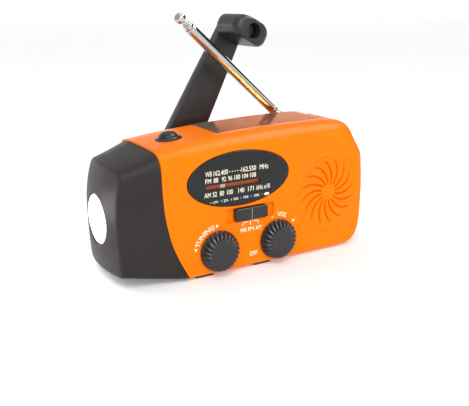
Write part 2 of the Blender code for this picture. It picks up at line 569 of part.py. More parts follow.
# The fork's ends are rounded about the pin so that the arm can swing over.
round_end = crank_slab("arm_end_cut", [(-0.001, -15), (-9, -15), (-9, 15), (-0.001, 15)], 15, 40)
boolean(round_end, "DIFFERENCE", barrel("arm_end_keep", 0.0, 2.6, 20.0))
boolean(arm, "DIFFERENCE", round_end)

GRIP_Y = (4.0, 22.4)
GRIP_LEVELS = [(4.0, 0.8), (4.3, 0.3), (5.0, 0.0), (6.0, 0.0), (7.2, 0.0), (8.5, 0.0), (21.8, 0.0), (22.4, 0.6)]


def grip_ring(y, shrink):
    """The grip's outline at one depth: its ends are rounded off towards the front."""
    bend = np.clip((8.5 - y) / 4.5, 0.0, 1.0)
    half = 9.2 - 5.0 * (1 - math.sqrt(1 - bend ** 2)) - shrink
    outline = rounded(0, 0, 10.0 - 2 * shrink, 2 * half, 4.2 - shrink, 6)
    return np.array([crank_point(GRIP_A + a, b, y) for a, b in outline])


grip = loft("crank_grip", [grip_ring(y, shrink) for y, shrink in GRIP_LEVELS], BLACK, pivot=TIP_PIVOT)
boolean(grip, "DIFFERENCE",
        rod("grip_bore", crank_point(GRIP_A, 0, 0), (0, 1, 0), 1.9, 40, n=24),
        rod("grip_counterbore", crank_point(GRIP_A, 0, 0), (0, 1, 0), 3.2, 6.0, n=32))
turned("grip_spindle", [(0, 0), (2.7, 0), (2.7, 1.2), (1.8, 1.5), (1.8, 22.2), (0, 22.2)],
       crank_point(GRIP_A, 0, 4.4), (0, 1, 0), STEEL, n=24, pivot=TIP_PIVOT)
boolean(arm, "DIFFERENCE", rod("arm_tip_hole", crank_point(GRIP_A, 0, 20), (0, 1, 0), 2.1, 6.9, n=24))

# ---------------------------------------------------------------- telescopic aerial
reach = MAST_TIP - MAST
LENGTH = float(np.linalg.norm(reach))
reach = reach / LENGTH
HEADING = np.array([reach[0], reach[1], 0.0]) / math.hypot(reach[0], reach[1])
TILT = np.cross(HEADING, (0, 0, 1.0))
MAST_PIVOT = tuple(MAST)


def oriented_box(name, low, high, frame, at, look=None, pivot=(0, 0, 0)):
    """A box given in a turned frame whose three axes are the rows of frame."""
    frame = np.asarray(frame)
    rings = []
    for h in (low[2], high[2]):
        corners = [(low[0], low[1], h), (high[0], low[1], h), (high[0], high[1], h), (low[0], high[1], h)]
        rings.append(np.array([np.asarray(at) + np.array(c) @ frame for c in corners]))
    return loft(name, rings, look, pivot=pivot)


upright = np.array([HEADING, TILT, (0, 0, 1.0)])
swivel = turned("aerial_swivel", [(0, -6.4), (1.9, -6.4), (1.9, -2.9), (3.5, -2.9), (3.5, -2.3), (3.2, -2.0), (0, -2.0)],
                MAST, (0, 0, 1), CHROME, n=24, pivot=(MAST[0], MAST[1], MAST[2]))
for k, side in enumerate((-1, 1)):
    lo, hi = sorted((side * 1.25, side * 2.3))
    boolean(swivel, "UNION", oriented_box(f"swivel_ear_{k}", (-2.0, lo, -2.4), (2.0, hi, 0.2), upright, MAST),
            rod(f"swivel_eye_{k}", MAST + TILT * lo, TILT, 2.0, hi - lo, n=16))
boolean(swivel, "DIFFERENCE", rod("swivel_bore", MAST - TILT * 5, TILT, 0.87, 10, n=16))
rod("aerial_pin", MAST - TILT * 2.5, TILT, 0.75, 5.0, STEEL, n=16, pivot=MAST_PIVOT)
boolean(rear, "DIFFERENCE", rod("mast_hole", (MAST[0], MAST[1], 45), (0, 0, 1), 2.0, 12, n=24))

across = np.cross(reach, TILT)
along = np.array([reach, TILT, across])
root = rod("aerial_root", MAST - TILT * 0.95, TILT, 1.9, 1.9, CHROME, n=24, pivot=MAST_PIVOT)
boolean(root, "UNION", oriented_box("root_tongue", (0.0, -0.95, -1.9), (4.6, 0.95, 1.9), along, MAST),
        rod("root_plug", MAST + reach * 4.2, reach, 2.4, 2.2, n=32))
boolean(root, "DIFFERENCE", rod("root_bore", MAST - TILT * 5, TILT, 0.87, 10, n=16))
END_1 = LENGTH - 8.0
turned("aerial_tube_1", [(0, 6.7), (2.4, 6.7), (2.4, END_1 - 0.3), (2.2, END_1), (2.0, END_1), (2.0, 8.0), (0, 8.0)],
       MAST, reach, CHROME, n=32, pivot=MAST_PIVOT)
turned("aerial_tube_2", [(0, 9.0), (1.9, 9.0), (1.9, END_1 + 2.2), (1.7, END_1 + 2.4), (1.5, END_1 + 2.4), (1.5, 10.0),
                         (0, 10.0)], MAST, reach, CHROME, n=28, pivot=MAST_PIVOT)
turned("aerial_tube_3", [(0, 11.0), (1.4, 11.0), (1.4, END_1 + 4.2), (1.25, END_1 + 4.4), (1.0, END_1 + 4.4),
                         (1.0, 12.0), (0, 12.0)], MAST, reach, CHROME, n=24, pivot=MAST_PIVOT)
turned("aerial_tip", [(0, 13.0), (0.9, 13.0), (0.9, END_1 + 5.0), (2.0, END_1 + 5.2), (2.3, END_1 + 5.6),
                      (2.3, LENGTH - 0.5), (1.8, LENGTH), (0, LENGTH)], MAST, reach, CHROME, n=24, pivot=MAST_PIVOT)
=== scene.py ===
"""Hand-crank emergency radio: the visible pieces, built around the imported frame.

Sizes in the classes are millimetres. X runs along the case from the lamp to the sockets, the dial
faces -Y, +Z is up, and Z = 0 is the flat underside of the case.
"""

from __future__ import annotations

import json
import logging
import math
from dataclasses import dataclass
from enum import Enum
from typing import Callable, ClassVar, Sequence

import bmesh
import bpy
import numpy as np
from mathutils import Matrix, Vector

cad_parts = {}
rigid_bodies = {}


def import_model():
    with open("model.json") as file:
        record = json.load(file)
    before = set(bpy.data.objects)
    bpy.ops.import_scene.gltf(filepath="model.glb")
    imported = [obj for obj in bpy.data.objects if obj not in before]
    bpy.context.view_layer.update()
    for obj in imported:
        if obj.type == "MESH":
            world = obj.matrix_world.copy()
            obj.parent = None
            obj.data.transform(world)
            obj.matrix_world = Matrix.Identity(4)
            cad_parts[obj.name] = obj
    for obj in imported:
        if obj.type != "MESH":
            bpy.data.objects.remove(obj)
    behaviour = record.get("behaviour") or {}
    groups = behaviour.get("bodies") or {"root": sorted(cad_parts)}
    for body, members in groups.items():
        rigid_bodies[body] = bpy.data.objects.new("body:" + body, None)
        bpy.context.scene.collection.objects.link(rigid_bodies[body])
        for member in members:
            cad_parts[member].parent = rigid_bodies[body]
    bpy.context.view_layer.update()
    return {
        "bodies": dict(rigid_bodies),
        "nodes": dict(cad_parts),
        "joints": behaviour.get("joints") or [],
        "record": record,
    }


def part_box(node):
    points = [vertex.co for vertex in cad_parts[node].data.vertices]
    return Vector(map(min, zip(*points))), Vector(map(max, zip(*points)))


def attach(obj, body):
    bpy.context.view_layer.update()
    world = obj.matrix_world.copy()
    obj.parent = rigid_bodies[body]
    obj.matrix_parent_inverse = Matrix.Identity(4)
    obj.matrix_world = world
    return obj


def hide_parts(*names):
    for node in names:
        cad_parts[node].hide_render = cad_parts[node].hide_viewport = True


LOG = logging.getLogger("emergency_radio")
MM = 0.001
FRONT_Y = -22.5
FILM_Y = (FRONT_Y - 0.03, FRONT_Y + 0.01)  # the front and back of the printing on the case
SEAM_GAP = 0.06
AXIS = 0.001  # the radius at which a turned profile meets its axis
SHARP = 0.01  # a rim so narrow that it reads as a sharp edge on a tool
SMOOTH_ANGLE = 32.0  # degrees; edges sharper than this stay crisp
NOISE_SPAN = (0.35, 0.65)  # the part of a noise's range that holds nearly all of its values
Point = Sequence[float]


# ------------------------------------------------------------------ finishes
def linear(code: str) -> tuple[float, float, float, float]:
    """Turns an sRGB hex value into a linear colour.

    Args:
        code: six hex digits, with or without a leading #.

    Returns:
        Linear red, green and blue with an alpha of one.
    """
    raw = [int(code.lstrip("#")[k:k + 2], 16) / 255.0 for k in (0, 2, 4)]
    return (*[c / 12.92 if c <= 0.04045 else ((c + 0.055) / 1.055) ** 2.4 for c in raw], 1.0)


def add_node(tree: bpy.types.NodeTree, kind: str, values: dict | None = None,
             links: dict | None = None, **settings: object) -> bpy.types.Node:
    """Adds one shader node.

    Args:
        tree: the node tree that gets the node.
        kind: the node's class name.
        values: input name or number to the constant it holds.
        links: input name or number to the output socket that feeds it.
        **settings: the node's own properties.

    Returns:
        The new node.
    """
    node = tree.nodes.new(kind)
    for key, value in settings.items():
        setattr(node, key, value)
    for key, value in (values or {}).items():
        node.inputs[key].default_value = value
    for key, socket in (links or {}).items():
        tree.links.new(socket, node.inputs[key])
    return node


def blend(tree: bpy.types.NodeTree, factor: bpy.types.NodeSocket, low: str, high: str) -> bpy.types.NodeSocket:
    """Runs a noise from one sRGB hex colour to another over the middle of its range.

    Args:
        tree: the node tree to add to.
        factor: the noise.
        low: the colour at its low end.
        high: the colour at its high end.

    Returns:
        The colour socket.
    """
    ramp = add_node(tree, "ShaderNodeValToRGB", links={"Fac": factor})
    for element, position, code in zip(ramp.color_ramp.elements, NOISE_SPAN, (low, high)):
        element.position = position
        element.color = linear(code)
    return ramp.outputs["Color"]


@dataclass(frozen=True)
class Finish:
    """A surface as it was made: colour, gloss and the grain that the tool or process left in it.

    grain_mm is the real size of the grain, and grain_um its height. The colour drifts towards the
    second one over cloud_mm, as pigment and handling make it do.
    """

    name: str
    colour: str
    second: str = ""
    roughness: float = 0.4
    rough_drift: float = 0.06
    metallic: float = 0.0
    ior: float = 1.5
    specular: float = 0.5
    grain_mm: float = 0.5
    grain_um: float = 8.0
    cloud_mm: float = 14.0
    glow: str = ""
    glow_strength: float = 0.0

    def build(self) -> bpy.types.Material:
        """Makes the material, or returns the one already made under this name.

        Returns:
            The material.
        """
        found = bpy.data.materials.get(self.name)
        if found:
            return found
        mat = bpy.data.materials.new(self.name)
        mat.use_nodes = True
        tree = mat.node_tree
        shader = tree.nodes["Principled BSDF"]
        place = add_node(tree, "ShaderNodeTexCoord").outputs["Object"]
        drift = add_node(tree, "ShaderNodeTexNoise",
                         {"Scale": 1000.0 / self.cloud_mm, "Detail": 4.0, "Roughness": 0.6}, {"Vector": place})
        mottled = blend(tree, drift.outputs["Fac"], self.colour, self.second or self.colour)
        tree.links.new(mottled, shader.inputs["Base Color"])
        grain = add_node(tree, "ShaderNodeTexNoise",
                         {"Scale": 1000.0 / self.grain_mm, "Detail": 3.0, "Roughness": 0.55}, {"Vector": place})
        spread = add_node(tree, "ShaderNodeMapRange",
                          {"From Min": 0.3, "From Max": 0.7,
                            "To Min": max(self.roughness - self.rough_drift, 0.02),
                           "To Max": self.roughness + self.rough_drift}, {"Value": grain.outputs["Fac"]})
        tree.links.new(spread.outputs["Result"], shader.inputs["Roughness"])
        if self.grain_um:
            bump = add_node(tree, "ShaderNodeBump", {"Strength": 0.6, "Distance": self.grain_um * 1e-6},
                            {"Height": grain.outputs["Fac"]})
            tree.links.new(bump.outputs["Normal"], shader.inputs["Normal"])
        shader.inputs["Metallic"].default_value = self.metallic
        if not self.metallic:
            shader.inputs["IOR"].default_value = self.ior
        shader.inputs["Specular IOR Level"].default_value = self.specular
        if self.glow:
            shader.inputs["Emission Color"].default_value = linear(self.glow)
            shader.inputs["Emission Strength"].default_value = self.glow_strength
        return mat


# Injection-moulded ABS off a polished tool: even colour, a clear sheen, a faint orange peel.
ORANGE = Finish("orange_moulded_abs", "#f87800", "#fb7c00", roughness=0.34, rough_drift=0.03, ior=1.53,
                specular=0.08, grain_mm=0.9, grain_um=2.5, cloud_mm=30.0)
# ABS off a spark-eroded tool: dark grey, fine leathery grain, soft highlights.
CHARCOAL = Finish("charcoal_textured_abs", "#2b2726", "#302b2a", roughness=0.44, rough_drift=0.05, ior=1.52,
                  specular=0.14, grain_mm=0.35, grain_um=6.0, cloud_mm=20.0)
# Black ABS of the crank and grip: smoother, picks up broad highlights.
BLACK = Finish("black_moulded_abs", "#1c1d1d", "#222323", roughness=0.36, rough_drift=0.05, ior=1.52,
               specular=0.4, grain_mm=0.5, grain_um=5.0, cloud_mm=18.0)
# ABS off a satin tool: the ribs each catch a thin bright line, the flat face stays dark.
KNOB = Finish("knob_satin_abs", "#1b1c1e", "#222326", roughness=0.3, rough_drift=0.05, grain_mm=0.4,
              specular=0.5, grain_um=3.0, cloud_mm=6.0)
# Silicone rubber: soft, nearly matt, with a dusty bloom.
RUBBER = Finish("silicone_rubber", "#151516", "#1b1b1c", roughness=0.4, rough_drift=0.05, ior=1.42,
                grain_mm=0.3, grain_um=6.0, cloud_mm=5.0)
# Back-printed acrylic of the dial: a deep flat colour under a polished face.
DIAL = Finish("dial_back_printed_acrylic", "#17191a", "#1a1c1d", roughness=0.1, rough_drift=0.02, ior=1.49,
              specular=0.35, grain_mm=3.0, grain_um=0.6, cloud_mm=25.0)
# Amber film behind the slot: lit only from the front, so it reads as a dull red-brown.
STRIP = Finish("dial_amber_strip", "#a8481a", "#b9551f", roughness=0.4, grain_mm=0.5, grain_um=4.0,
               cloud_mm=6.0)
# Pad-printed ink: a thin flat layer that stands a hair proud, cream-white and matt.
INK = Finish("white_printing_ink", "#f0e6cf", "#f6eedb", roughness=0.5, grain_mm=0.3, grain_um=3.0,
             cloud_mm=2.0)
# Small moulding left uncoloured: a soft bone-grey with little gloss.
POINTER = Finish("pointer_pale_plastic", "#c9c3a8", "#d8d3ba", roughness=0.4, grain_mm=0.4, grain_um=3.0,
                 cloud_mm=2.0)
# Chrome over drawn brass tube: mirrors the room, with faint drawing haze along it.
CHROME = Finish("bright_chrome_plate", "#b9babc", "#c4c5c7", roughness=0.14, rough_drift=0.03, metallic=1.0,
                grain_mm=0.6, grain_um=0.6, cloud_mm=10.0)
# Zinc-plated sheet and pins: grey, with a blurred shine from the rolled surface.
STEEL = Finish("zinc_plated_steel", "#8f9092", "#9c9da0", roughness=0.34, metallic=1.0, grain_mm=0.25,
               grain_um=3.0, cloud_mm=4.0)
# Blackened screw heads: near black, with a dull metallic edge where the driver meets.
DARK_STEEL = Finish("blackened_screw_steel", "#3a3a3c", "#4a4a4c", roughness=0.4, metallic=1.0, grain_mm=0.25,
                    grain_um=4.0, cloud_mm=3.0)
# Brass cut on a lathe or hobbed: warm yellow, with a fine-cut shine.
BRASS = Finish("cut_brass", "#b08d4c", "#c0a05e", roughness=0.3, metallic=1.0, grain_mm=0.2, grain_um=3.0,
               cloud_mm=3.0)
# Moulded polycarbonate with the lamp behind it: so bright that its surface hardly shows.
LENS = Finish("lit_polycarbonate_lens", "#f6f6f2", "#fbfbf8", roughness=0.12, ior=1.58, grain_mm=1.2,
              grain_um=4.0, cloud_mm=6.0, glow="#fffdf6", glow_strength=9.0)
# Plastic with a vacuum-laid metal film: brighter than polished metal, a little wavy.
SILVERED = Finish("vacuum_silvered_plastic", "#e6e6e6", "#eeeeee", roughness=0.16, rough_drift=0.02,
                  metallic=1.0, grain_mm=1.5, grain_um=1.0, cloud_mm=6.0)
# The lens ring glows with the lamp behind it.
LIT_RING = Finish("lit_frosted_lens_ring", "#ecebe4", "#f4f3ee", roughness=0.3, grain_mm=0.5, grain_um=4.0,
                  cloud_mm=4.0, glow="#fffbee", glow_strength=0.9)
# Glass cloth under green lacquer: a smooth sheen over a fine weave.
BOARD = Finish("green_circuit_laminate", "#12452a", "#185535", roughness=0.35, grain_mm=0.4, grain_um=10.0,
               cloud_mm=5.0)
# Film shrunk tight over the cells: glossy, with slight ripples.
WRAP = Finish("blue_shrink_wrap", "#22407e", "#294a8e", roughness=0.3, grain_mm=2.0, grain_um=20.0,
              cloud_mm=8.0)
# Unfilled nylon straight from the tool: milky, with a soft waxy sheen.
NYLON = Finish("natural_nylon", "#cfcabb", "#d8d4c7", roughness=0.45, grain_mm=0.5, grain_um=6.0, cloud_mm=6.0)
# Pressed paper pulp: black, fibrous and quite matt.
PAPER = Finish("speaker_paper", "#1c1b1a", "#262422", roughness=0.8, grain_mm=0.25, grain_um=25.0, cloud_mm=3.0)


@dataclass(frozen=True)
class SolarFinish:
    """A thin-film silicon cell: amber-brown strips, mirror-like, between fine lines, under clear resin."""

    name: str = "thin_film_solar_cell"
    strip: str = "#b87c3e"
    strip_light: str = "#c18845"
    line: str = "#cda873"
    edge_tint: str = "#c08444"
    roughness: float = 0.15
    metallic: float = 0.92
    strip_mm: float = 7.2
    line_mm: float = 0.35

    def build(self) -> bpy.types.Material:
        """Makes the banded cell material from Object coordinates.

        Returns:
            The material.
        """
        mat = bpy.data.materials.new(self.name)
        mat.use_nodes = True
        tree = mat.node_tree
        shader = tree.nodes["Principled BSDF"]
        place = add_node(tree, "ShaderNodeTexCoord").outputs["Object"]
        apart = add_node(tree, "ShaderNodeSeparateXYZ", links={0: place})
        step = add_node(tree, "ShaderNodeMath", {1: self.strip_mm * MM}, {0: apart.outputs["X"]}, operation="DIVIDE")
        wrap = add_node(tree, "ShaderNodeMath", links={0: step.outputs[0]}, operation="FRACT")
        line = add_node(tree, "ShaderNodeMath", {1: self.line_mm / self.strip_mm}, {0: wrap.outputs[0]},
                        operation="LESS_THAN")
        noise = add_node(tree, "ShaderNodeTexNoise", {"Scale": 260.0, "Detail": 3.0}, {"Vector": place})
        mix = add_node(tree, "ShaderNodeMix", links={"Factor": line.outputs[0]}, data_type="RGBA")
        tree.links.new(blend(tree, noise.outputs["Fac"], self.strip, self.strip_light), mix.inputs[6])
        mix.inputs[7].default_value = linear(self.line)
        tree.links.new(mix.outputs[2], shader.inputs["Base Color"])
        shader.inputs["Roughness"].default_value = self.roughness
        shader.inputs["Metallic"].default_value = self.metallic
        shader.inputs["Specular Tint"].default_value = linear(self.edge_tint)
        return mat


@dataclass(frozen=True)
class ClearFinish:
    """Clear plastic or resin laid over something printed: see-through, with a polished face."""

    name: str = "clear_polished_resin"
    tint: str = "#f2ece4"
    alpha: float = 0.05
    roughness: float = 0.05
    ior: float = 1.5
    specular: float = 0.04

    def build(self) -> bpy.types.Material:
        """Makes the clear material.

        Returns:
            The material.
        """
        mat = bpy.data.materials.new(self.name)
        mat.use_nodes = True
        shader = mat.node_tree.nodes["Principled BSDF"]
        shader.inputs["Base Color"].default_value = linear(self.tint)
        shader.inputs["Alpha"].default_value = self.alpha
        shader.inputs["Roughness"].default_value = self.roughness
        shader.inputs["IOR"].default_value = self.ior
        shader.inputs["Specular IOR Level"].default_value = self.specular
        return mat


# ------------------------------------------------------------------ mesh tools
def frame_of(along: Point) -> np.ndarray:
    """Three axes as rows, the last of them along the given direction.

    Args:
        along: a direction of any length.

    Returns:
        A 3 x 3 array, one axis to a row.
    """
    w = np.asarray(along, float) / np.linalg.norm(along)
    u = np.cross(w, (0.0, 0.0, 1.0) if abs(w[2]) < 0.9 else (0.0, 1.0, 0.0))
    u /= np.linalg.norm(u)
    return np.array([u, np.cross(w, u), w])


def new_mesh(name: str, verts: np.ndarray, faces: list) -> bpy.types.Object:
    """Puts points in millimetres and faces into a new object at the origin.

    Args:
        name: the object's name.
        verts: points in millimetres.
        faces: lists of point numbers.

    Returns:
        The object.
    """
    mesh = bpy.data.meshes.new(name)
    mesh.from_pydata((np.asarray(verts, float) * MM).tolist(), [], faces)
    mesh.update()
    return stand(name, mesh)


def grid(name: str, rows: np.ndarray, closed: bool = False) -> bpy.types.Object:
    """Skins a stack of closed rows.

    Each row is a loop of points, and the quads join each row to the next. The first and last rows are
    filled in with one face each, unless closed joins them together.

    Args:
        name: the object's name.
        rows: an array of rows by points by three.
        closed: whether the last row joins the first, as on a ring.

    Returns:
        The object, with its faces turned outwards.
    """
    count, around = rows.shape[:2]
    index = np.arange(count * around).reshape(count, around)
    lower = index if closed else index[:-1]
    upper = np.roll(index, -1, 0) if closed else index[1:]
    quads = np.stack((lower, np.roll(lower, -1, 1), np.roll(upper, -1, 1), upper), -1).reshape(-1, 4)
    faces = quads.tolist()
    if not closed:
        faces += [index[0, ::-1].tolist(), index[-1].tolist()]
    piece = new_mesh(name, rows.reshape(-1, 3), faces)
    tidy(piece)
    return piece


def at_depth(flat: np.ndarray, y: float) -> np.ndarray:
    """Puts points (x, z) at one depth."""
    return np.stack((flat[:, 0], np.full(len(flat), y), flat[:, 1]), 1)


def between(name: str, flat: np.ndarray, near: float, far: float) -> bpy.types.Object:
    """Extrudes points (x, z) from one depth to another."""
    return grid(name, np.array([at_depth(flat, near), at_depth(flat, far)]))


def drum(name: str, at: Point, along: Point, radius: float, length: float,
         around: int = 64) -> bpy.types.Object:
    """A plain round tool that starts at a point."""
    return lathe(name, np.array([(AXIS, 0), (radius, 0), (radius, length), (AXIS, length)]), at, along, around)


def span(node: str) -> tuple[np.ndarray, np.ndarray]:
    """The middle and the size of a frame solid's box, in millimetres."""
    low, high = (np.array(c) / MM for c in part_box(node))
    return (low + high) / 2, high - low


def stand(name: str, data: bpy.types.ID) -> bpy.types.Object:
    """Links a lamp's, camera's or mesh's data into the scene as a new object."""
    holder = bpy.data.objects.new(name, data)
    bpy.context.scene.collection.objects.link(holder)
    return holder


def tidy(piece: bpy.types.Object, angle: float = SMOOTH_ANGLE, merge: float = 1e-6) -> None:
    """Merges doubles, turns faces out and smooths all but the sharp edges.

    Args:
        piece: the object to clean.
        angle: degrees above which an edge stays sharp.
        merge: how close, in metres, points are to be merged.
    """
    bm = bmesh.new()
    bm.from_mesh(piece.data)
    bmesh.ops.remove_doubles(bm, verts=bm.verts, dist=merge)
    bmesh.ops.dissolve_degenerate(bm, edges=bm.edges, dist=merge)
    bmesh.ops.recalc_face_normals(bm, faces=bm.faces)
    bm.to_mesh(piece.data)
    bm.free()
    piece.data.shade_smooth()
    piece.data.set_sharp_from_angle(angle=math.radians(angle))


def corner(profile: list[tuple[float, float]], radius: float, steps: int = 4) -> np.ndarray:
    """Rounds the inner corners of an open profile with arcs drawn as quadratic curves.

    A corner point P between A and B becomes (1-t)^2 P1 + 2t(1-t) P + t^2 P2, where P1 and P2 lie
    radius away from P towards A and B, or half way if they are closer.

    Args:
        profile: points (radius, height).
        radius: how far the arcs reach from each corner.
        steps: the pieces in each arc.

    Returns:
        The rounded profile.
    """
    pts = np.asarray(profile, float)
    out = [pts[:1]]
    for before, here, after in zip(pts[:-2], pts[1:-1], pts[2:]):
        ends = []
        for other in (before, after):
            gap = np.linalg.norm(other - here)
            ends.append(here + (other - here) * min(radius / gap, 0.5) if gap else here)
        t = np.linspace(0, 1, steps + 1)[:, None]
        out.append((1 - t) ** 2 * ends[0] + 2 * t * (1 - t) * here + t ** 2 * ends[1])
    out.append(pts[-1:])
    return np.concatenate(out)


def lathe(name: str, profile: np.ndarray, at: Point, along: Point, around: int = 96,
          closed: bool = False) -> bpy.types.Object:
    """Revolves a profile: point = at + height * w + radius * (cos a * u + sin a * v).

    Args:
        name: the object's name.
        profile: rows of (radius, height).
        at: the point that heights are measured from.
        along: the axis.
        around: the number of points in a turn.
        closed: whether the profile closes on itself, as on a ring.

    Returns:
        The object.
    """
    profile = np.asarray(profile, float)
    u, v, w = frame_of(along)
    a = np.linspace(0, 2 * math.pi, around, endpoint=False)
    spoke = np.cos(a)[:, None] * u + np.sin(a)[:, None] * v
    rows = np.asarray(at, float) + profile[:, 1, None, None] * w + profile[:, 0, None, None] * spoke
    return grid(name, rows, closed)


def rounded(cx: float, cz: float, width: float, height: float, radius: float, steps: int = 8) -> np.ndarray:
    """The outline of a rounded rectangle, as points of a flat plane.

    Args:
        cx: the middle across.
        cz: the middle up.
        width: the full width.
        height: the full height.
        radius: the corners' radius.
        steps: the pieces in each corner.

    Returns:
        The outline as points (x, z).
    """
    out = []
    for sx, sz, start in ((1, -1, -90), (1, 1, 0), (-1, 1, 90), (-1, -1, 180)):
        a = np.radians(np.linspace(start, start + 90, steps))
        out.append(np.stack((cx + sx * (width / 2 - radius) + radius * np.cos(a),
                             cz + sz * (height / 2 - radius) + radius * np.sin(a)), 1))
    return np.concatenate(out)


def ellipse(cx: float, cz: float, a: float, b: float, count: int = 160) -> np.ndarray:
    """Points of an ellipse."""
    t = np.linspace(0, 2 * math.pi, count, endpoint=False)
    return np.stack((cx + a * np.cos(t), cz + b * np.sin(t)), 1)


def inset(outline: np.ndarray, by: float) -> np.ndarray:
    """Moves an outline's points inwards along their normals.

    Args:
        outline: a closed outline.
        by: how far to move; below 0 it grows.

    Returns:
        The moved outline.
    """
    run = np.roll(outline, -1, 0) - np.roll(outline, 1, 0)
    out = np.stack((run[:, 1], -run[:, 0]), 1) / np.maximum(np.linalg.norm(run, axis=1), 1e-9)[:, None]
    turn = np.sum(outline[:, 0] * np.roll(outline[:, 1], -1) - outline[:, 1] * np.roll(outline[:, 0], -1))
    return outline - out * by * (1.0 if turn > 0 else -1.0)


def pillow(name: str, outline: np.ndarray, low: float, high: float, edge: float, axis: str = "y",
           both: bool = True, steps: int = 4) -> bpy.types.Object:
    """Extrudes an outline and rolls its rims over with a quarter circle of radius edge.

    Args:
        name: the object's name.
        outline: points in the plane of the two other axes.
        low: the lowest level.
        high: the highest level.
        edge: the rim's radius.
        axis: the axis the outline is extruded along.
        both: whether the low rim is rolled over too, or only the high one.
        steps: the number of rows in a rim.

    Returns:
        The object.
    """
    a = np.linspace(0, math.pi / 2, steps + 1)
    rim = [(high - edge + edge * math.sin(t), edge - edge * math.cos(t)) for t in a]
    base = ([(low + edge - edge * math.sin(t), edge - edge * math.cos(t)) for t in a[::-1]] if both
            else [(low, 0.0)])
    rows = []
    for level, shrink in base + rim:
        flat = inset(outline, shrink)
        column = np.full(len(flat), level)
        order = {"x": (column, flat[:, 0], flat[:, 1]), "y": (flat[:, 0], column, flat[:, 1]),
                 "z": (flat[:, 0], flat[:, 1], column)}[axis]
        rows.append(np.stack(order, 1))
    return grid(name, np.array(rows))


class Cut(Enum):
    """How one solid changes another."""

    TAKE = "DIFFERENCE"
    KEEP = "INTERSECT"
    JOIN = "UNION"


def carve(piece: bpy.types.Object, how: Cut, *tools: bpy.types.Object, angle: float = SMOOTH_ANGLE) -> None:
    """Applies solid tools to a piece one after the other, and throws the tools away.

    Args:
        piece: the object to cut.
        how: the boolean to use.
        tools: closed objects, which are deleted.
        angle: degrees above which an edge stays sharp.
    """
    for tool in tools:
        step = piece.modifiers.new(tool.name, "BOOLEAN")
        step.operation = how.value
        step.solver = "EXACT"
        step.object = tool
    bpy.context.view_layer.update()
    shape = bpy.data.meshes.new_from_object(piece.evaluated_get(bpy.context.evaluated_depsgraph_get()))
    piece.modifiers.clear()
    old, piece.data = piece.data, shape
    bpy.data.meshes.remove(old)
    for tool in tools:
        bpy.data.objects.remove(tool, do_unlink=True)
    tidy(piece, angle, 2e-6)


def join(name: str, pieces: Sequence[bpy.types.Object]) -> bpy.types.Object:
    """Collects several closed meshes into one object.

    Args:
        name: the object's name.
        pieces: closed objects, which are deleted.

    Returns:
        The object.
    """
    bm = bmesh.new()
    for piece in pieces:
        bm.from_mesh(piece.data)
    mesh = bpy.data.meshes.new(name)
    bm.to_mesh(mesh)
    bm.free()
    for piece in pieces:
        bpy.data.objects.remove(piece, do_unlink=True)
    whole = stand(name, mesh)
    whole.data.shade_smooth()
    whole.data.set_sharp_from_angle(angle=math.radians(SMOOTH_ANGLE))
    return whole


def place(piece: bpy.types.Object, body: str, slot: str, finish: Finish | SolarFinish | ClearFinish,
          *stands_for: str) -> bpy.types.Object:
    """Gives a piece its finish and its body, and hides the solids that it stands for.

    Args:
        piece: the object.
        body: the body it rides on.
        slot: not used.
        finish: its material.
        stands_for: frame solids that it replaces.

    Returns:
        The piece.
    """
    piece.data.materials.clear()
    piece.data.materials.append(finish.build())
    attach(piece, body)
    if stands_for:
        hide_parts(*stands_for)
    LOG.info("%s rides on %s: %d faces", piece.name, body, len(piece.data.polygons))
    return piece


def lettering(name: str, text: str, height: float, warp: Callable[[np.ndarray], np.ndarray],
              width: float, bold: float = 0.012) -> bpy.types.Object:
    """Cuts words out of a thin film and lays them on a surface.

    The letters are first a flat mesh whose points are (along, up, depth) in millimetres, with the
    middle of the capitals at up = 0 and the middle of the words at along = 0.

    Args:
        name: the object's name.
        text: the words.
        height: the height of a capital.
        warp: turns the flat points into points in space.
        width: the length of the words along the line.
        bold: how far each stroke is swollen, as a share of the height.

    Returns:
        The object.
    """
    curve = bpy.data.curves.new(name, "FONT")
    curve.body = text
    curve.size = height / 0.7
    curve.offset = bold * height
    curve.extrude = 0.02
    curve.resolution_u = 3
    holder = stand(name, curve)
    bpy.context.view_layer.update()
    mesh = bpy.data.meshes.new_from_object(holder.evaluated_get(bpy.context.evaluated_depsgraph_get()))
    bpy.data.objects.remove(holder, do_unlink=True)
    flat = np.empty(len(mesh.vertices) * 3, np.float32)
    mesh.vertices.foreach_get("co", flat)
    flat = flat.reshape(-1, 3).astype(float)
    low, high = flat[:, 0].min(), flat[:, 0].max()
    flat[:, 0] = (flat[:, 0] - (high + low) / 2) * width / (high - low)
    flat[:, 1] -= height / 2
    mesh.vertices.foreach_set("co", (warp(flat) * MM).astype(np.float32).ravel())
    mesh.update()
    return stand(name, mesh)


def on_front(x: float, z: float, y: float = FRONT_Y - 0.01) -> Callable[[np.ndarray], np.ndarray]:
    """Lays flat letters on a plane that faces the front, with their middle at x and z."""
    return lambda flat: np.stack((flat[:, 0] + x, y - flat[:, 2], flat[:, 1] + z), 1)


def round_knob(centre: tuple[float, float], radius: float, degrees: float,
               y: float = FRONT_Y - 0.01) -> Callable[[np.ndarray], np.ndarray]:
    """Bends letters round a circle on the front: angle = middle - along / radius.

    Args:
        centre: the middle of the circle, as (x, z).
        radius: its radius.
        degrees: where the middle of the text sits.
        y: the letters' depth.

    Returns:
        The bending function.
    """
    def warp(flat: np.ndarray) -> np.ndarray:
        a = math.radians(degrees) - flat[:, 0] / radius
        r = radius + flat[:, 1]
        return np.stack((centre[0] + r * np.cos(a), y - flat[:, 2], centre[1] + r * np.sin(a)), 1)
    return warp


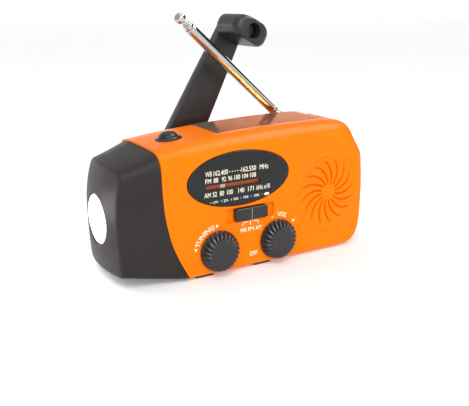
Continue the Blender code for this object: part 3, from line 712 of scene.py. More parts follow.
# ------------------------------------------------------------------ case
SEAM_Z = np.array([0.0, 6.0, 12.0, 18.0, 24.0, 30.0, 36.0, 43.0, 49.7, 54.0, 57.0])
SEAM_X = np.array([-27.2, -30.4, -33.2, -35.4, -36.8, -37.9, -38.4, -38.7, -38.9, -39.2, -39.6])
TOP_X = np.array([-39.5, -29.0, -18.0, -7.0, 5.0, 15.0, 25.0, 35.0, 43.0, 48.5])
TOP_Z = np.array([55.3, 56.6, 57.6, 58.5, 59.2, 59.6, 59.9, 60.0, 60.0, 59.9])
END = [(56.4, 0.0), (58.4, 0.5), (61.0, 2.2), (62.8, 4.5), (63.9, 7.6), (64.4, 10.9), (64.75, 17.0),
       (64.8, 23.5), (64.7, 29.0), (64.4, 34.0), (63.9, 39.0), (63.2, 44.0), (62.2, 48.4),
       (60.9, 52.2), (59.1, 55.4), (56.8, 57.7), (53.9, 59.1)]
DIAL_AT = (-3.0, 40.6)
TUNE_AT = (-13.65, 10.27)
VOLUME_AT = (16.1, 10.27)
SPEAKER_AT = (44.2, 27.6)
SLIDER_AT = (2.25, 24.55)
HUB_AT = (-17.4, 30.0)
LAMP_Z = 25.6
MAST_AT = np.array([43.6, 18.6, 57.6])
MAST_TIP = np.array([-20.1, -1.5, 105.8])


def flowing(points: np.ndarray, count: int, passes: int = 3) -> np.ndarray:
    """Resamples an open curve by arc length with a cubic through its points.

    Each span is the Hermite cubic whose end slopes are the neighbours' central differences.

    Args:
        points: the curve as rows of coordinates.
        count: how many points to return.
        passes: how often the arc lengths are evened out.

    Returns:
        The resampled curve.
    """
    pts = np.asarray(points, float)
    s = np.concatenate(([0.0], np.cumsum(np.linalg.norm(np.diff(pts, axis=0), axis=1))))
    slope = np.gradient(pts, s, axis=0)
    t = np.linspace(0, s[-1], count)
    k = np.clip(np.searchsorted(s, t, side="right") - 1, 0, len(s) - 2)
    h = (s[k + 1] - s[k])[:, None]
    u = ((t - s[k])[:, None]) / h
    out = ((2 * u ** 3 - 3 * u ** 2 + 1) * pts[k] + (u ** 3 - 2 * u ** 2 + u) * h * slope[k]
           + (3 * u ** 2 - 2 * u ** 3) * pts[k + 1] + (u ** 3 - u ** 2) * h * slope[k + 1])
    for _ in range(passes):
        out[1:-1] = (out[:-2] + 2 * out[1:-1] + out[2:]) / 4
    return out


SEAM_LINE = flowing(np.stack((SEAM_X, SEAM_Z), 1), 120)
TOP_LINE = flowing(np.stack((np.append(TOP_X, END[-1][0]), np.append(TOP_Z, END[-1][1])), 1), 200)


def seam_x(z: np.ndarray) -> np.ndarray:
    """The joint line between the case and the lamp head: X at a height."""
    return np.interp(z, SEAM_LINE[:, 1], SEAM_LINE[:, 0])


def top_z(x: np.ndarray) -> np.ndarray:
    """The height of the arched top at X."""
    return np.interp(x, TOP_LINE[:, 0], TOP_LINE[:, 1])


def crown(y: np.ndarray | float) -> np.ndarray:
    """How far the top has fallen at a depth: it is level in front, then drops as a parabola."""
    return 3.0 * np.clip((np.asarray(y) - 6.0) / 16.5, 0.0, 1.0) ** 2


@dataclass
class Case:
    """The two orange shells, the printed labels on them, the door, screws and feet."""

    half_depth: float = 22.5
    wall: float = 2.0
    split_y: float = 3.35
    top_round: float = 7.0
    edge_round: float = 1.4
    rear_radius: float = 72.7

    def ring(self, y: float, wall: float, half: float, top_round: float, edge_round: float) -> np.ndarray:
        """The outline at one depth; the rounding is r - sqrt(r^2 - (r - depth)^2) in from the edge.

        Args:
            y: the depth.
            wall: how far inside the outer face.
            half: half the depth of the whole.
            top_round: the rounding of the top edge.
            edge_round: the rounding of the end and lower edges.

        Returns:
            The outline as points (x, y, z).
        """
        depth = half - abs(y)

        def pull(radius: float) -> float:
            if depth >= radius:
                return wall
            return wall + radius - math.sqrt(max(radius ** 2 - (radius - depth) ** 2, 0.0))

        top_in, end_in = pull(top_round), pull(edge_round)
        whole = np.array(END + list(zip(TOP_X[::-1], TOP_Z[::-1])))
        curve = flowing(whole, 190)
        run = np.gradient(curve, axis=0)
        out = np.stack((run[:, 1], -run[:, 0]), 1)
        out /= np.linalg.norm(out, axis=1)[:, None]
        out[0], out[-1] = (0.0, -1.0), (0.0, 1.0)
        share = np.clip((curve[:, 1] - 43.0) / 12.0, 0.0, 1.0)
        share = share ** 2 * (3 - 2 * share)
        curve[:, 1] -= crown(y) * share
        curve = curve - out * (end_in + (top_in - end_in) * share)[:, None]
        column = np.linspace(curve[-1, 1], end_in, 40)
        left = seam_x(column) + wall + (SEAM_GAP / 2 if not wall else 0.0)
        seam = np.stack((left, column), 1)
        curve = curve[curve[:, 0] > seam[0, 0] + 0.3]
        floor = np.stack((np.linspace(seam[-1, 0], curve[0, 0], 42)[1:-1], np.full(40, end_in)), 1)
        return at_depth(np.concatenate((self.even(curve, 188), seam, floor)), y)

    @staticmethod
    def even(curve: np.ndarray, count: int) -> np.ndarray:
        """The same curve with an exact number of evenly spaced points.

        Args:
            curve: points of a flat curve.
            count: how many to return.

        Returns:
            The resampled curve.
        """
        s = np.concatenate(([0.0], np.cumsum(np.linalg.norm(np.diff(curve, axis=0), axis=1))))
        t = np.linspace(0, s[-1], count)
        return np.stack((np.interp(t, s, curve[:, 0]), np.interp(t, s, curve[:, 1])), 1)

    def solid(self, name: str, wall: float, low: float, high: float, half: float, top_round: float,
              edge_round: float) -> bpy.types.Object:
        """Skins the outlines from one depth to another, closer together where the edges roll over.

        Args:
            name: the object's name.
            wall: how far inside the outer face.
            low: the first depth.
            high: the last depth.
            half: half the depth of the whole.
            top_round: the rounding of the top edge.
            edge_round: the rounding of the other edges.

        Returns:
            The object.
        """
        a = np.linspace(0, math.pi / 2, 11)
        depths = np.unique(np.round(np.concatenate((top_round * (1 - np.cos(a)), edge_round * (1 - np.cos(a[::2])))),
                                    3))
        levels = np.concatenate((-half + depths, half - depths, np.linspace(6.0, 15.0, 7)))
        levels = np.unique(np.round(np.clip(levels, low, high), 3))
        rows = [self.ring(float(y), wall, half, top_round, edge_round) for y in levels]
        return grid(name, np.array(rows))

    @staticmethod
    def box(name: str, low: Point, high: Point) -> bpy.types.Object:
        """A plain block used to trim.

        Args:
            name: the object's name.
            low: the lowest corner.
            high: the highest corner.

        Returns:
            The tool.
        """
        xs, ys, zs = zip(low, high)
        outline = np.array([(xs[0], ys[0]), (xs[1], ys[0]), (xs[1], ys[1]), (xs[0], ys[1])])
        rows = [np.column_stack((outline, np.full(4, z))) for z in zs]
        return grid(name, np.array(rows))

    def rooms(self, front: bool) -> list[bpy.types.Object]:
        """The hollows inside the shells.

        Args:
            front: whether the front hollow is wanted too.

        Returns:
            The tools.
        """
        reach = self.half_depth - self.wall
        found = []
        if front:
            found.append(self.solid("room", self.wall, -reach, self.split_y - 2.15, reach, 5.0, 0.5))
        deep = self.solid("deep_room", self.wall + 0.5, -8.0, reach, reach, 5.0, 0.5)
        carve(deep, Cut.TAKE, drum("mast_wall", (MAST_AT[0], MAST_AT[1], 52.2), (0, 0, 1), 11, 20, 48),
              self.box("groove_wall", (-60, 13.3, 52.2), (MAST_AT[0], 30, 70)))
        carve(deep, Cut.KEEP, self.hub_drum(self.rear_radius - 2.2))
        found.append(deep)
        return found

    @staticmethod
    def hub_drum(radius: float) -> bpy.types.Object:
        """A drum about the crank's axis, right through the case."""
        return drum("hub_drum", (HUB_AT[0], -45, HUB_AT[1]), (0, 1, 0), radius, 90, 360)

    def solar_hole(self) -> bpy.types.Object:
        """The tray in the top that holds the solar panel, following the arch 1.2 mm down.

        Returns:
            The tool.
        """
        x = np.linspace(-8.2, 50.2, 60)
        outline = np.concatenate((np.stack((x, top_z(x) - 1.2), 1), [(50.2, 70.0), (-8.2, 70.0)]))
        return between("solar_hole", outline, -12.25, 12.25)

    @staticmethod
    def flared(name: str, outline: np.ndarray, floor: float, flare: float = 0.3) -> bpy.types.Object:
        """A hole cut from the front down to floor, with its mouth rolled open by flare.

        Args:
            name: the object's name.
            outline: the hole's outline.
            floor: the depth it reaches.
            flare: how far the mouth opens.

        Returns:
            The tool.
        """
        a = np.linspace(0, math.pi / 2, 5)
        levels = [(FRONT_Y - 6.0, -flare)] + [(FRONT_Y + flare - flare * math.cos(t), -flare + flare * math.sin(t))
                                             for t in a] + [(floor, 0.0)]
        return grid(name, np.array([at_depth(inset(outline, shrink), y) for y, shrink in levels]))

    def front(self) -> bpy.types.Object:
        """The front shell, with its dial, slider, knob, speaker and socket openings.

        Returns:
            The object.
        """
        shell = self.solid("radio_front_shell", 0.0, -self.half_depth, self.half_depth, self.half_depth,
                           self.top_round, self.edge_round)
        carve(shell, Cut.KEEP, self.box("half", (-80, -40, -20), (90, self.split_y - SEAM_GAP / 2, 80)))
        carve(shell, Cut.TAKE, *self.rooms(True))
        lean = np.array(TopControls.LEAN)
        tools = [
            self.solar_hole(),
            drum("button_hole", TopControls.AT - 6 * lean, lean, 4.6, 12.0),
            self.flared("dial_recess", ellipse(*DIAL_AT, 25.0, 12.0), -21.3, 0.35),
            self.flared("slider_recess", rounded(*SLIDER_AT, 23.9, 6.3, 0.7), -21.2, 0.25),
            drum("tune_hole", (TUNE_AT[0], -30, TUNE_AT[1]), (0, 1, 0), 2.5, 12),
            drum("volume_hole", (VOLUME_AT[0], -30, VOLUME_AT[1]), (0, 1, 0), 2.5, 12),
            drum("speaker_hole", (SPEAKER_AT[0], -30, SPEAKER_AT[1]), (0, 1, 0), 16.9, 12, 128),
            pillow("usb_hole", rounded(-6, 17, 6.5, 14.1, 0.6), 50, 80, 0.01, "x"),
            pillow("micro_hole", rounded(-6, 31.65, 3.7, 8.6, 0.8), 50, 80, 0.01, "x"),
            drum("jack_hole", (50, -15.0, 8.6), (1, 0, 0), 3.2, 20),
        ]
        carve(shell, Cut.TAKE, *tools)
        carve(shell, Cut.TAKE, pillow("dial_opening", ellipse(*DIAL_AT, 23.4, 10.6), -30, -18, SHARP),
              pillow("slider_slot", rounded(*SLIDER_AT, 10.8, 2.6, 0.8), -30, -18, SHARP),
              *self.foot_pockets("front"))
        return place(shell, "case", "front_shell", ORANGE, "front_shell")

    def rear(self) -> bpy.types.Object:
        """The rear shell, stepped round at its right end so that the grip can pass.

        Returns:
            The object.
        """
        shell = self.solid("radio_rear_shell", 0.0, -self.half_depth, self.half_depth, self.half_depth,
                           self.top_round, self.edge_round)
        carve(shell, Cut.KEEP, self.box("half", (-80, self.split_y + SEAM_GAP / 2, -20), (90, 40, 80)),
              self.hub_drum(self.rear_radius))
        carve(shell, Cut.TAKE, *self.rooms(False))
        carve(shell, Cut.TAKE, drum("pocket", (MAST_AT[0], MAST_AT[1], 54.4), (0, 0, 1), 9.0, 20.0, 96),
              self.box("groove", (-60, 15.5, 54.4), (MAST_AT[0], 30, 70)))
        tools = [self.solar_hole(), drum("shaft_hole", (HUB_AT[0], 15, HUB_AT[1]), (0, 1, 0), 3.6, 20),
                 pillow("door_recess", rounded(25, 14.5, 41.8, 18.8, 1.5), 21.2, 30, SHARP),
                 drum("mast_hole", (MAST_AT[0], MAST_AT[1], 45), (0, 0, 1), 2.0, 12)]
        tools += [drum(f"screw_hole_{k}", (x, 19.3, z), (0, 1, 0), 2.5, 8) for k, (x, z) in
                  enumerate(self.screws())]
        carve(shell, Cut.TAKE, *tools)
        carve(shell, Cut.TAKE, pillow("door_opening", rounded(25, 14.5, 38, 15, 1.0), 15, 30, SHARP),
              *self.foot_pockets("rear"))
        return place(shell, "case", "rear_shell", ORANGE, "rear_shell")

    @staticmethod
    def screws() -> list[tuple[float, float]]:
        """The rear screws' places, from the frame.

        Returns:
            Places (x, z), one to a screw.
        """
        middles = [span(f"case_screw_{k}")[0] for k in range(1, 5)]
        return [(float(mid[0]), float(mid[2])) for mid in middles]

    @staticmethod
    def foot_pockets(row: str) -> list[bpy.types.Object]:
        """Shallow pockets that the rubber feet of the front or rear row are glued into.

        Args:
            row: "front" or "rear".

        Returns:
            The tools.
        """
        found = []
        for side in ("left", "right"):
            mid, size = span(f"foot_{row}_{side}")
            found.append(pillow(f"pocket_{side}_{row}", rounded(mid[0], mid[1], size[0] + 0.3, size[1] + 0.3, 1.1),
                                -5.0, 0.6, SHARP, "z"))
        return found

    @staticmethod
    def feet() -> None:
        """Four rubber feet with rolled rims."""
        for row in ("front", "rear"):
            for side in ("left", "right"):
                node = f"foot_{row}_{side}"
                mid, size = span(node)
                pad = pillow("rubber_" + node, rounded(mid[0], mid[1], size[0], size[1], 1.0, 6),
                             mid[2] - size[2] / 2, mid[2] + size[2] / 2, 0.4, "z")
                place(pad, "case", node, RUBBER, node)

    def hardware(self) -> None:
        """The battery door with its finger ribs, and the cross-headed screws."""
        door = pillow("battery_door_panel", rounded(25, 14.5, 41.4, 18.4, 1.3), 21.5, 22.5, 0.25)
        ribs = [pillow(f"door_rib_{k}", rounded(39.5 - 1.6 * k, 14.5, 0.8, 8.0, 0.39), 22.1, 22.75, 0.2)
                for k in range(4)]
        place(join("battery_door_ribbed", [door, *ribs]), "case", "battery_door", ORANGE, "battery_door")
        for k, (x, z) in enumerate(self.screws(), 1):
            head = lathe(f"screw_{k}", corner([(AXIS, 0), (2.2, 0), (2.2, 1.6), (1.6, 2.1), (AXIS, 2.1)], 0.3),
                         (x, 19.8, z), (0, 1, 0), 40)
            slots = [pillow(f"drive_{k}_{n}", rounded(x, z, *size, 0.2), 21.2, 23.0, SHARP)
                     for n, size in enumerate(((2.6, 0.55), (0.55, 2.6)))]
            carve(head, Cut.TAKE, *slots)
            place(head, "case", f"case_screw_{k}", DARK_STEEL, f"case_screw_{k}")

    def labels(self) -> None:
        """White printing on the front: the control names, the band leads and the volume marks."""
        film = [
            lettering("word_tuning", "TUNING", 2.0, round_knob(TUNE_AT, 11.0, 131.5), 11.6, 0.035),
            lettering("word_vol", "VOL", 2.0, round_knob(VOLUME_AT, 11.2, 76.0), 5.2, 0.035),
            lettering("word_off", "OFF", 2.0, on_front(3.9, 5.6), 4.0, 0.035),
            lettering("word_wb", "WB", 1.7, on_front(-1.5, 17.2), 3.2, 0.035),
            lettering("word_fm", "FM", 1.7, on_front(2.4, 17.2), 2.9, 0.035),
            lettering("word_am", "AM", 1.7, on_front(6.2, 17.2), 3.0, 0.035),
            lettering("mark_minus", "-", 2.4, round_knob(VOLUME_AT, 11.0, 104.0), 1.0, 0.03),
            lettering("mark_plus", "+", 2.4, round_knob(VOLUME_AT, 11.2, 38.0), 1.5, 0.03),
        ]
        for name, degrees, turn in (("down", 169.0, 1.0), ("up", 93.5, -1.0)):
            film.append(self.arrow(f"arrow_{name}", TUNE_AT, 11.1, degrees, turn))
        for x0, z0, x1, z1 in ((2.2, 21.1, 2.2, 19.3), (-1.7, 20.6, 0.9, 20.6), (-1.7, 20.6, -1.7, 19.3),
                               (3.5, 20.6, 6.1, 20.6), (6.1, 20.6, 6.1, 19.3)):
            film.append(pillow("lead", rounded((x0 + x1) / 2, (z0 + z1) / 2, abs(x1 - x0) + 0.4,
                                               abs(z1 - z0) + 0.4, 0.1, 3), *FILM_Y, 0.005))
        place(join("front_lettering", film), "case", "dial_pointer", INK)

    @staticmethod
    def arrow(name: str, centre: tuple[float, float], radius: float, degrees: float,
              turn: float) -> bpy.types.Object:
        """A small arrowhead that points round a circle.

        Args:
            name: the object's name.
            centre: the middle of the circle, as (x, z).
            radius: its radius.
            degrees: where the head sits.
            turn: which way it points, 1 or -1.

        Returns:
            The object.
        """
        a = math.radians(degrees)
        mid = np.array([centre[0] + radius * math.cos(a), centre[1] + radius * math.sin(a)])
        ahead = turn * np.array([-math.sin(a), math.cos(a)])
        side = np.array([math.cos(a), math.sin(a)])
        outline = np.array([mid + 0.9 * ahead, mid - 0.6 * ahead + 0.8 * side, mid - 0.6 * ahead - 0.8 * side])
        return between(name, outline, *FILM_Y)

    def build(self) -> None:
        """Builds everything that is screwed, glued or printed on the case."""
        self.front()
        self.rear()
        self.feet()
        self.hardware()
        self.labels()


# ------------------------------------------------------------------ lamp head
@dataclass
class LampHead:
    """The charcoal end housing with its bowed face, the lit lens, its ring and the reflector."""

    half_depth: float = 22.5
    opening: float = 10.8
    lens: float = 9.2
    crisp: float = 24.0

    def section(self, t: float, by: float) -> np.ndarray:
        """The outline part way from the joint (0) to the tip (1), as (y, z).

        Args:
            t: how far along.
            by: how far inside the outer face.

        Returns:
            The outline.
        """
        low, high = 5.7 * max(t - 0.16, 0.0) ** 1.1 + by, TOP_Z[0] + 1.1 - 7.4 * t - by
        half_low, half_high = self.half_depth + 0.6 - 4.2 * t - by, self.half_depth + 0.8 - 5.5 * t - by
        r_high, r_low = max(7.0 - 2.0 * t - by, 3.0), max(1.4 + 0.6 * t - by, 0.4)
        a, b = np.radians(np.linspace(-90, 0, 8)), np.radians(np.linspace(0, 90, 18))
        f = np.linspace(0, 1, 32)[1:-1]
        side = np.concatenate((
            np.stack((half_low - r_low + r_low * np.cos(a), low + r_low + r_low * np.sin(a)), 1),
            np.stack((half_low + (half_high - half_low) * f ** 2, low + r_low + (high - r_high - low - r_low) * f), 1),
            np.stack((half_high - r_high + r_high * np.cos(b), high - r_high + r_high * np.sin(b)), 1)))
        roof = np.stack((np.linspace(side[-1, 0], -side[-1, 0], 26)[1:-1], np.full(24, high)), 1)
        base = np.stack((np.linspace(-side[0, 0], side[0, 0], 14)[1:-1], np.full(12, low)), 1)
        flat = np.concatenate((side, roof, side[::-1] * (-1, 1), base))
        flat[:, 1] -= crown(flat[:, 0]) * np.clip((flat[:, 1] - 43.0) / 12.0, 0.0, 1.0)
        return flat

    @staticmethod
    def end_x(y: np.ndarray, z: np.ndarray) -> np.ndarray:
        """The bowed end face: a parabola across it, another above z = 28, and a slight one below 20."""
        above, below = np.maximum(z - 28.0, 0.0), np.maximum(20.0 - z, 0.0)
        return -59.6 + 2.6 * (y / 17.0) ** 2 + 0.0087 * above ** 2 + 0.003 * below ** 2

    def shape(self, name: str, by: float, start: float, tip: float) -> bpy.types.Object:
        """Ruled sides from the joint to the tip, a rolled rim, and the bowed face in shrinking rings.

        Args:
            name: the object's name.
            by: how far inside the outer face.
            start: how far it reaches into the case.
            tip: how far the end face is moved in.

        Returns:
            The object.
        """
        rows = []
        for t in np.linspace(0, 1, 16):
            sec = self.section(float(t), by)
            near = seam_x(sec[:, 1]) + start
            far = self.end_x(sec[:, 0], sec[:, 1]) + tip + 1.0
            rows.append(np.stack((near + (far - near) * t, sec[:, 0], sec[:, 1]), 1))
        edge = self.section(1.0, by)
        centre = np.array([0.0, LAMP_Z])
        for a in np.linspace(0, math.pi / 2, 6)[1:]:
            sec = inset(edge, 1.0 - math.cos(a))
            rows.append(np.stack((self.end_x(sec[:, 0], sec[:, 1]) + tip + 1.0 - math.sin(a), sec[:, 0], sec[:, 1]), 1))
        for scale in np.linspace(0.94, 0.02, 22):
            sec = centre + (inset(edge, 1.0) - centre) * scale
            rows.append(np.stack((self.end_x(sec[:, 0], sec[:, 1]) + tip, sec[:, 0], sec[:, 1]), 1))
        return grid(name, np.array(rows))

    def build(self) -> None:
        """Builds the housing and the lamp inside it."""
        housing = self.shape("lamp_head_housing", 0.0, 4.0, 0.0)
        z = np.linspace(-9.0, 75.0, 140)
        line = np.stack((seam_x(z) - SEAM_GAP / 2 - 0.05, z), 1)
        outline = np.concatenate((line, [(90, 75), (90, -9)]))
        carve(housing, Cut.TAKE, between("beyond", outline, -40, 40), angle=self.crisp)
        carve(housing, Cut.TAKE, self.shape("hollow", 2.0, 9.0, 2.6), angle=self.crisp)
        mouth = corner([(AXIS, -14), (self.opening + 1.2, -14), (self.opening + 0.4, 0.2), (self.opening, 1.2),
                        (self.opening, 16), (AXIS, 16)], 0.5)
        carve(housing, Cut.TAKE, lathe("mouth", mouth, (-59.6, 0, LAMP_Z), (1, 0, 0), 128), angle=self.crisp)
        place(housing, "case", "lamp_housing", CHARCOAL, "lamp_housing")
        ring = corner([(9.4, 0), (10.5, 0), (10.5, 6.4), (10.1, 6.8), (9.7, 6.8), (9.4, 6.2), (9.4, 0)], 0.3)
        place(lathe("lamp_ring", ring[:-1], (-52.0, 0, LAMP_Z), (-1, 0, 0), 128, True), "case", "lens_bezel",
              LIT_RING, "lens_bezel")
        r = np.linspace(AXIS, self.lens, 24)[::-1]
        dome = np.stack((r, 1.9 + 3.5 * (1 - (r / self.lens) ** 2)), 1)
        place(lathe("lamp_lens_lit", np.concatenate(([(AXIS, 0.0), (self.lens, 0.0)], dome)), (-55.6, 0, LAMP_Z),
                    (-1, 0, 0), 96), "case", "lamp_lens", LENS, "lamp_lens")
        h = np.linspace(0, 8.8, 16)
        bowl = np.sqrt(3.0 ** 2 + (self.lens ** 2 - 3.0 ** 2) * h / 8.8)
        outer = np.concatenate((np.stack((bowl, h), 1), np.stack((bowl - 0.6, h + 0.25), 1)[::-1]))
        place(lathe("lamp_reflector", outer, (-46.6, 0, LAMP_Z), (-1, 0, 0), 96, True), "case", "reflector",
              SILVERED, "reflector")


# ------------------------------------------------------------------ dial
@dataclass
class Dial:
    """The oval dial: back-printed face with a slot, the scale, the amber strip and its pointer."""

    bar: tuple[float, float, float] = (-19.6, 7.2, 38.35)
    bar_height: float = 1.9

    def face(self) -> None:
        """The oval face with its rolled rim and the pointer's slot."""
        oval = pillow("dial_face", ellipse(*DIAL_AT, 24.75, 11.75), -22.6, -21.5, 0.22)
        slot = rounded((self.bar[0] + self.bar[1]) / 2, self.bar[2], self.bar[1] - self.bar[0], self.bar_height, 0.9)
        carve(oval, Cut.TAKE, pillow("pointer_slot", slot, -25, -20, SHARP))
        place(oval, "case", "dial_window", DIAL, "dial_window")
        strip = pillow("dial_strip", rounded((self.bar[0] + self.bar[1]) / 2, self.bar[2],
                                             self.bar[1] - self.bar[0] + 2, self.bar_height + 1.2, 0.3), -21.2, -20.9,
                       0.05)
        place(strip, "case", "dial_plate", STRIP)
        plate = pillow("dial_backing", rounded(-2.5, 40.7, 54.0, 24.6, 3.0), -19.1, -18.3, 0.1)
        place(plate, "case", "dial_plate", BLACK, "dial_plate")

    def pointer(self) -> None:
        """The pale tab that shows in the slot."""
        x = span("dial_pointer")[0][0]
        tab = pillow("pointer_tab", rounded(x, self.bar[2], 2.4, self.bar_height - 0.1, 0.25), -21.45, -21.25, 0.05)
        place(tab, "pointer", "dial_pointer", POINTER, "dial_pointer")

    def scale(self) -> None:
        """The printed rows: weather band, FM, AM and the charge row."""
        y = FRONT_Y - 0.11
        rows = [
            (44.3, 2.1, ((-18.2, 3.0, "WB"), (-12.5, 6.7, "162.400"), (1.1, 7.2, "162.550"), (8.7, 4.4, "MHz"))),
            (41.35, 2.0, ((-18.4, 2.7, "FM"), (-14.8, 2.2, "88"), (-11.0, 2.0, "92"), (-8.0, 2.0, "96"),
                          (-4.6, 2.8, "100"), (-0.7, 2.9, "104"), (3.2, 2.9, "108"))),
            (35.4, 2.05, ((-18.8, 3.0, "AM"), (-15.4, 2.0, "52"), (-12.0, 2.0, "80"), (-8.1, 2.9, "100"),
                          (-2.6, 3.0, "140"), (2.2, 2.9, "171"), (8.5, 6.8, "kHz x10"))),
            (32.0, 1.05, ((-15.0, 2.5, "LOW"), (-10.1, 2.2, "25%"), (-5.2, 2.4, "50%"), (-0.3, 2.5, "75%"),
                          (5.1, 2.7, "100%"))),
        ]
        film = []
        for z, height, words in rows:
            for x, width, word in words:
                film.append(lettering(f"scale_{word}", word, height, on_front(x, z, y), width))
        for k in range(5):
            film.append(pillow("dash", rounded(-8.2 + 1.3 * k, 44.1, 0.6, 0.32, 0.12, 3), y - 0.02, y + 0.02, 0.005))
        film.append(pillow("cell_mark", rounded(10.3, 31.9, 2.5, 1.2, 0.58, 5), y - 0.02, y + 0.02, 0.005))
        place(join("dial_lettering", film), "case", "dial_pointer", INK)
        # Printed colour dots of the charge row. Each is given a weak glow in its own colour: painted brightness on
        # print that is no lamp.
        for name, x, code in (("green", -17.4, "#2fae4a"), ("teal", -12.2, "#3f97a5"), ("cyan", -7.5, "#46a6b8"),
                              ("sky", -2.7, "#3c6fb4"), ("blue", 2.3, "#3c62b0"), ("red", 8.0, "#a02430")):
            spot = lathe(f"dot_{name}", np.array([(AXIS, 0), (0.42, 0), (0.42, 0.03), (AXIS, 0.03)]),
                         (x, y + 0.01, 32.0), (0, -1, 0), 24)
            place(spot, "case", "dial_pointer", Finish(f"printed_dot_painted_glow_{name}", code, roughness=0.3, grain_mm=0.4,
                                                       grain_um=2.0, cloud_mm=1.0, glow=code, glow_strength=0.08))

    def build(self) -> None:
        """Builds the dial."""
        self.face()
        self.pointer()
        self.scale()


# ------------------------------------------------------------------ front controls
@dataclass
class Knobs:
    """Two fluted knobs whose flutes sweep up a bowed flank and run out into a smooth face."""

    skirt: float = 9.03
    face: float = 4.9
    height: float = 5.2
    flutes: int = 24
    scallop: float = 1.15
    twist: float = 12.0

    def knob(self, name: str, at: tuple[float, float], body: str) -> None:
        """One knob: radius = flank(s) - scallop(s) * |cos(flutes * (a - twist * s) / 2)|^0.8.

        Args:
            name: the node that the knob stands for, with its cap.
            at: the spindle's X and Z.
            body: the body that it turns with.
        """
        around = self.flutes * 14
        a = np.linspace(0, 2 * math.pi, around, endpoint=False)
        u, v, w = frame_of((0, -1, 0))
        s = np.linspace(0, 1, 30)[:, None]
        bow = np.sin(s * math.pi / 2)
        flank = self.face + (self.skirt - 0.1 - self.face) * np.cos(s * math.pi / 2) ** 0.8
        depth = self.scallop * np.sin(np.clip(s * 1.02 + 0.02, 0, 1) * math.pi) ** 0.7
        ridge = np.abs(np.cos(self.flutes * (a[None, :] - math.radians(self.twist) * s) / 2)) ** 0.8
        fluted = flank - depth * (1 - ridge)
        level = np.broadcast_to(0.9 + (self.height - 0.9) * bow, fluted.shape)
        foot = np.array([(AXIS, 3.6), (2.15, 3.6), (2.15, 0.0), (8.75, 0.0), (8.97, 0.1), (self.skirt, 0.3),
                         (self.skirt, 0.7)])
        r = np.linspace(self.face - 0.25, AXIS, 16)
        face = np.stack((r, self.height + 0.05 - 0.35 * (1 - (r / self.face) ** 2)), 1)
        radius = np.concatenate((np.repeat(foot[:, :1], around, 1), fluted, np.repeat(face[:, :1], around, 1)))
        height = np.concatenate((np.repeat(foot[:, 1:], around, 1), level, np.repeat(face[:, 1:], around, 1)))
        spoke = np.cos(a)[:, None] * u + np.sin(a)[:, None] * v
        rows = np.array([at[0], -22.8, at[1]]) + height[..., None] * w + radius[..., None] * spoke
        knob = grid(f"{name}_fluted", rows)
        place(knob, body, name, KNOB, name, name + "_cap")

    def build(self) -> None:
        """Builds both knobs."""
        self.knob("tuning_knob", TUNE_AT, "tuning")
        self.knob("volume_knob", VOLUME_AT, "volume")


@dataclass
class BandSlider:
    """The black band slider with a pale index line."""

    width: float = 16.3
    tall: float = 5.5

    def build(self) -> None:
        """Builds the slider and its index line, both riding on the slider."""
        body = pillow("band_slider_button", rounded(*SLIDER_AT, self.width, self.tall, 1.1), -23.9, -21.5, 0.4)
        stem = pillow("stem", rounded(*SLIDER_AT, 3.0, 1.9, 0.2), -22.0, -19.9, SHARP)
        groove = pillow("index_groove", rounded(*SLIDER_AT, 0.45, 7.0, 0.1), -24.5, -23.75, SHARP)
        carve(body, Cut.TAKE, groove)
        carve(body, Cut.JOIN, stem)
        place(body, "slider", "band_slider", BLACK, "band_slider")
        line = pillow("index_line", rounded(*SLIDER_AT, 0.4, self.tall - 0.8, 0.1), -23.82, -23.7, 0.02)
        place(line, "slider", "dial_pointer", Finish("index_line_grey_ink", "#8d8f92", roughness=0.5, grain_mm=0.4,
                                                     grain_um=3.0, cloud_mm=2.0))


@dataclass
class Grille:
    """The speaker grille: a shallow dish with curved louvre grooves inside a raised ring."""

    slots: int = 16
    inner: float = 3.8
    outer: float = 15.2
    width: float = 0.95
    sweep: float = 27.0
    rim: float = 16.85
    back_y: float = -20.9

    def slot(self, base: float) -> bpy.types.Object:
        """One groove: its middle line turns by sweep * t^1.5 from the inner to the outer circle.

        Args:
            base: where round the grille it starts.

        Returns:
            The tool.
        """
        t = np.linspace(0, 1, 22)
        radius = self.inner + (self.outer - self.inner) * t
        angle = base + math.radians(self.sweep) * t ** 1.5
        mid = np.stack((radius * np.cos(angle), radius * np.sin(angle)), 1)
        run = np.gradient(mid, axis=0)
        side = np.stack((-run[:, 1], run[:, 0]), 1) / np.linalg.norm(run, axis=1)[:, None]
        half = (self.width / 2) * (0.18 + 0.82 * np.sin(np.pi * np.clip(t * 0.93 + 0.05, 0, 1)) ** 0.6)[:, None]
        outline = np.concatenate((mid + side * half, (mid - side * half)[::-1])) + np.array(SPEAKER_AT)
        levels = ((-26.0, -0.25), (-23.0, -0.25), (-22.4, 0.0), (-21.6, 0.08))
        return grid("slot", np.array([at_depth(inset(outline, by), y) for y, by in levels]))

    def build(self) -> None:
        """Builds the dish, cuts the grooves, and adds the ring that hides its rim."""
        middle = (SPEAKER_AT[0], self.back_y, SPEAKER_AT[1])
        r = np.linspace(self.rim, AXIS, 48)
        front = np.stack((r, 1.5 + 0.45 * (1 - (r / self.rim) ** 2)), 1)
        profile = np.concatenate(([(AXIS, 0.0), (self.rim - 0.15, 0.0), (self.rim, 0.3)], front))
        dish = lathe("speaker_dish", profile, middle, (0, -1, 0), 160)
        tools = [self.slot(2 * math.pi * k / self.slots + 0.1) for k in range(self.slots)]
        carve(dish, Cut.TAKE, *tools)
        t = np.linspace(-1, 1, 22)
        ridge = np.stack((17.6 + 1.9 * t, 1.56 + 0.72 * np.cos(t * math.pi / 2) ** 3), 1)
        ring = np.concatenate(([(19.5, 1.2), (15.7, 1.2)], ridge))
        edge = lathe("speaker_ridge", ring, middle, (0, -1, 0), 160, True)
        place(join("speaker_grille_louvred", [dish, edge]), "case", "speaker_grille", ORANGE, "speaker_grille")


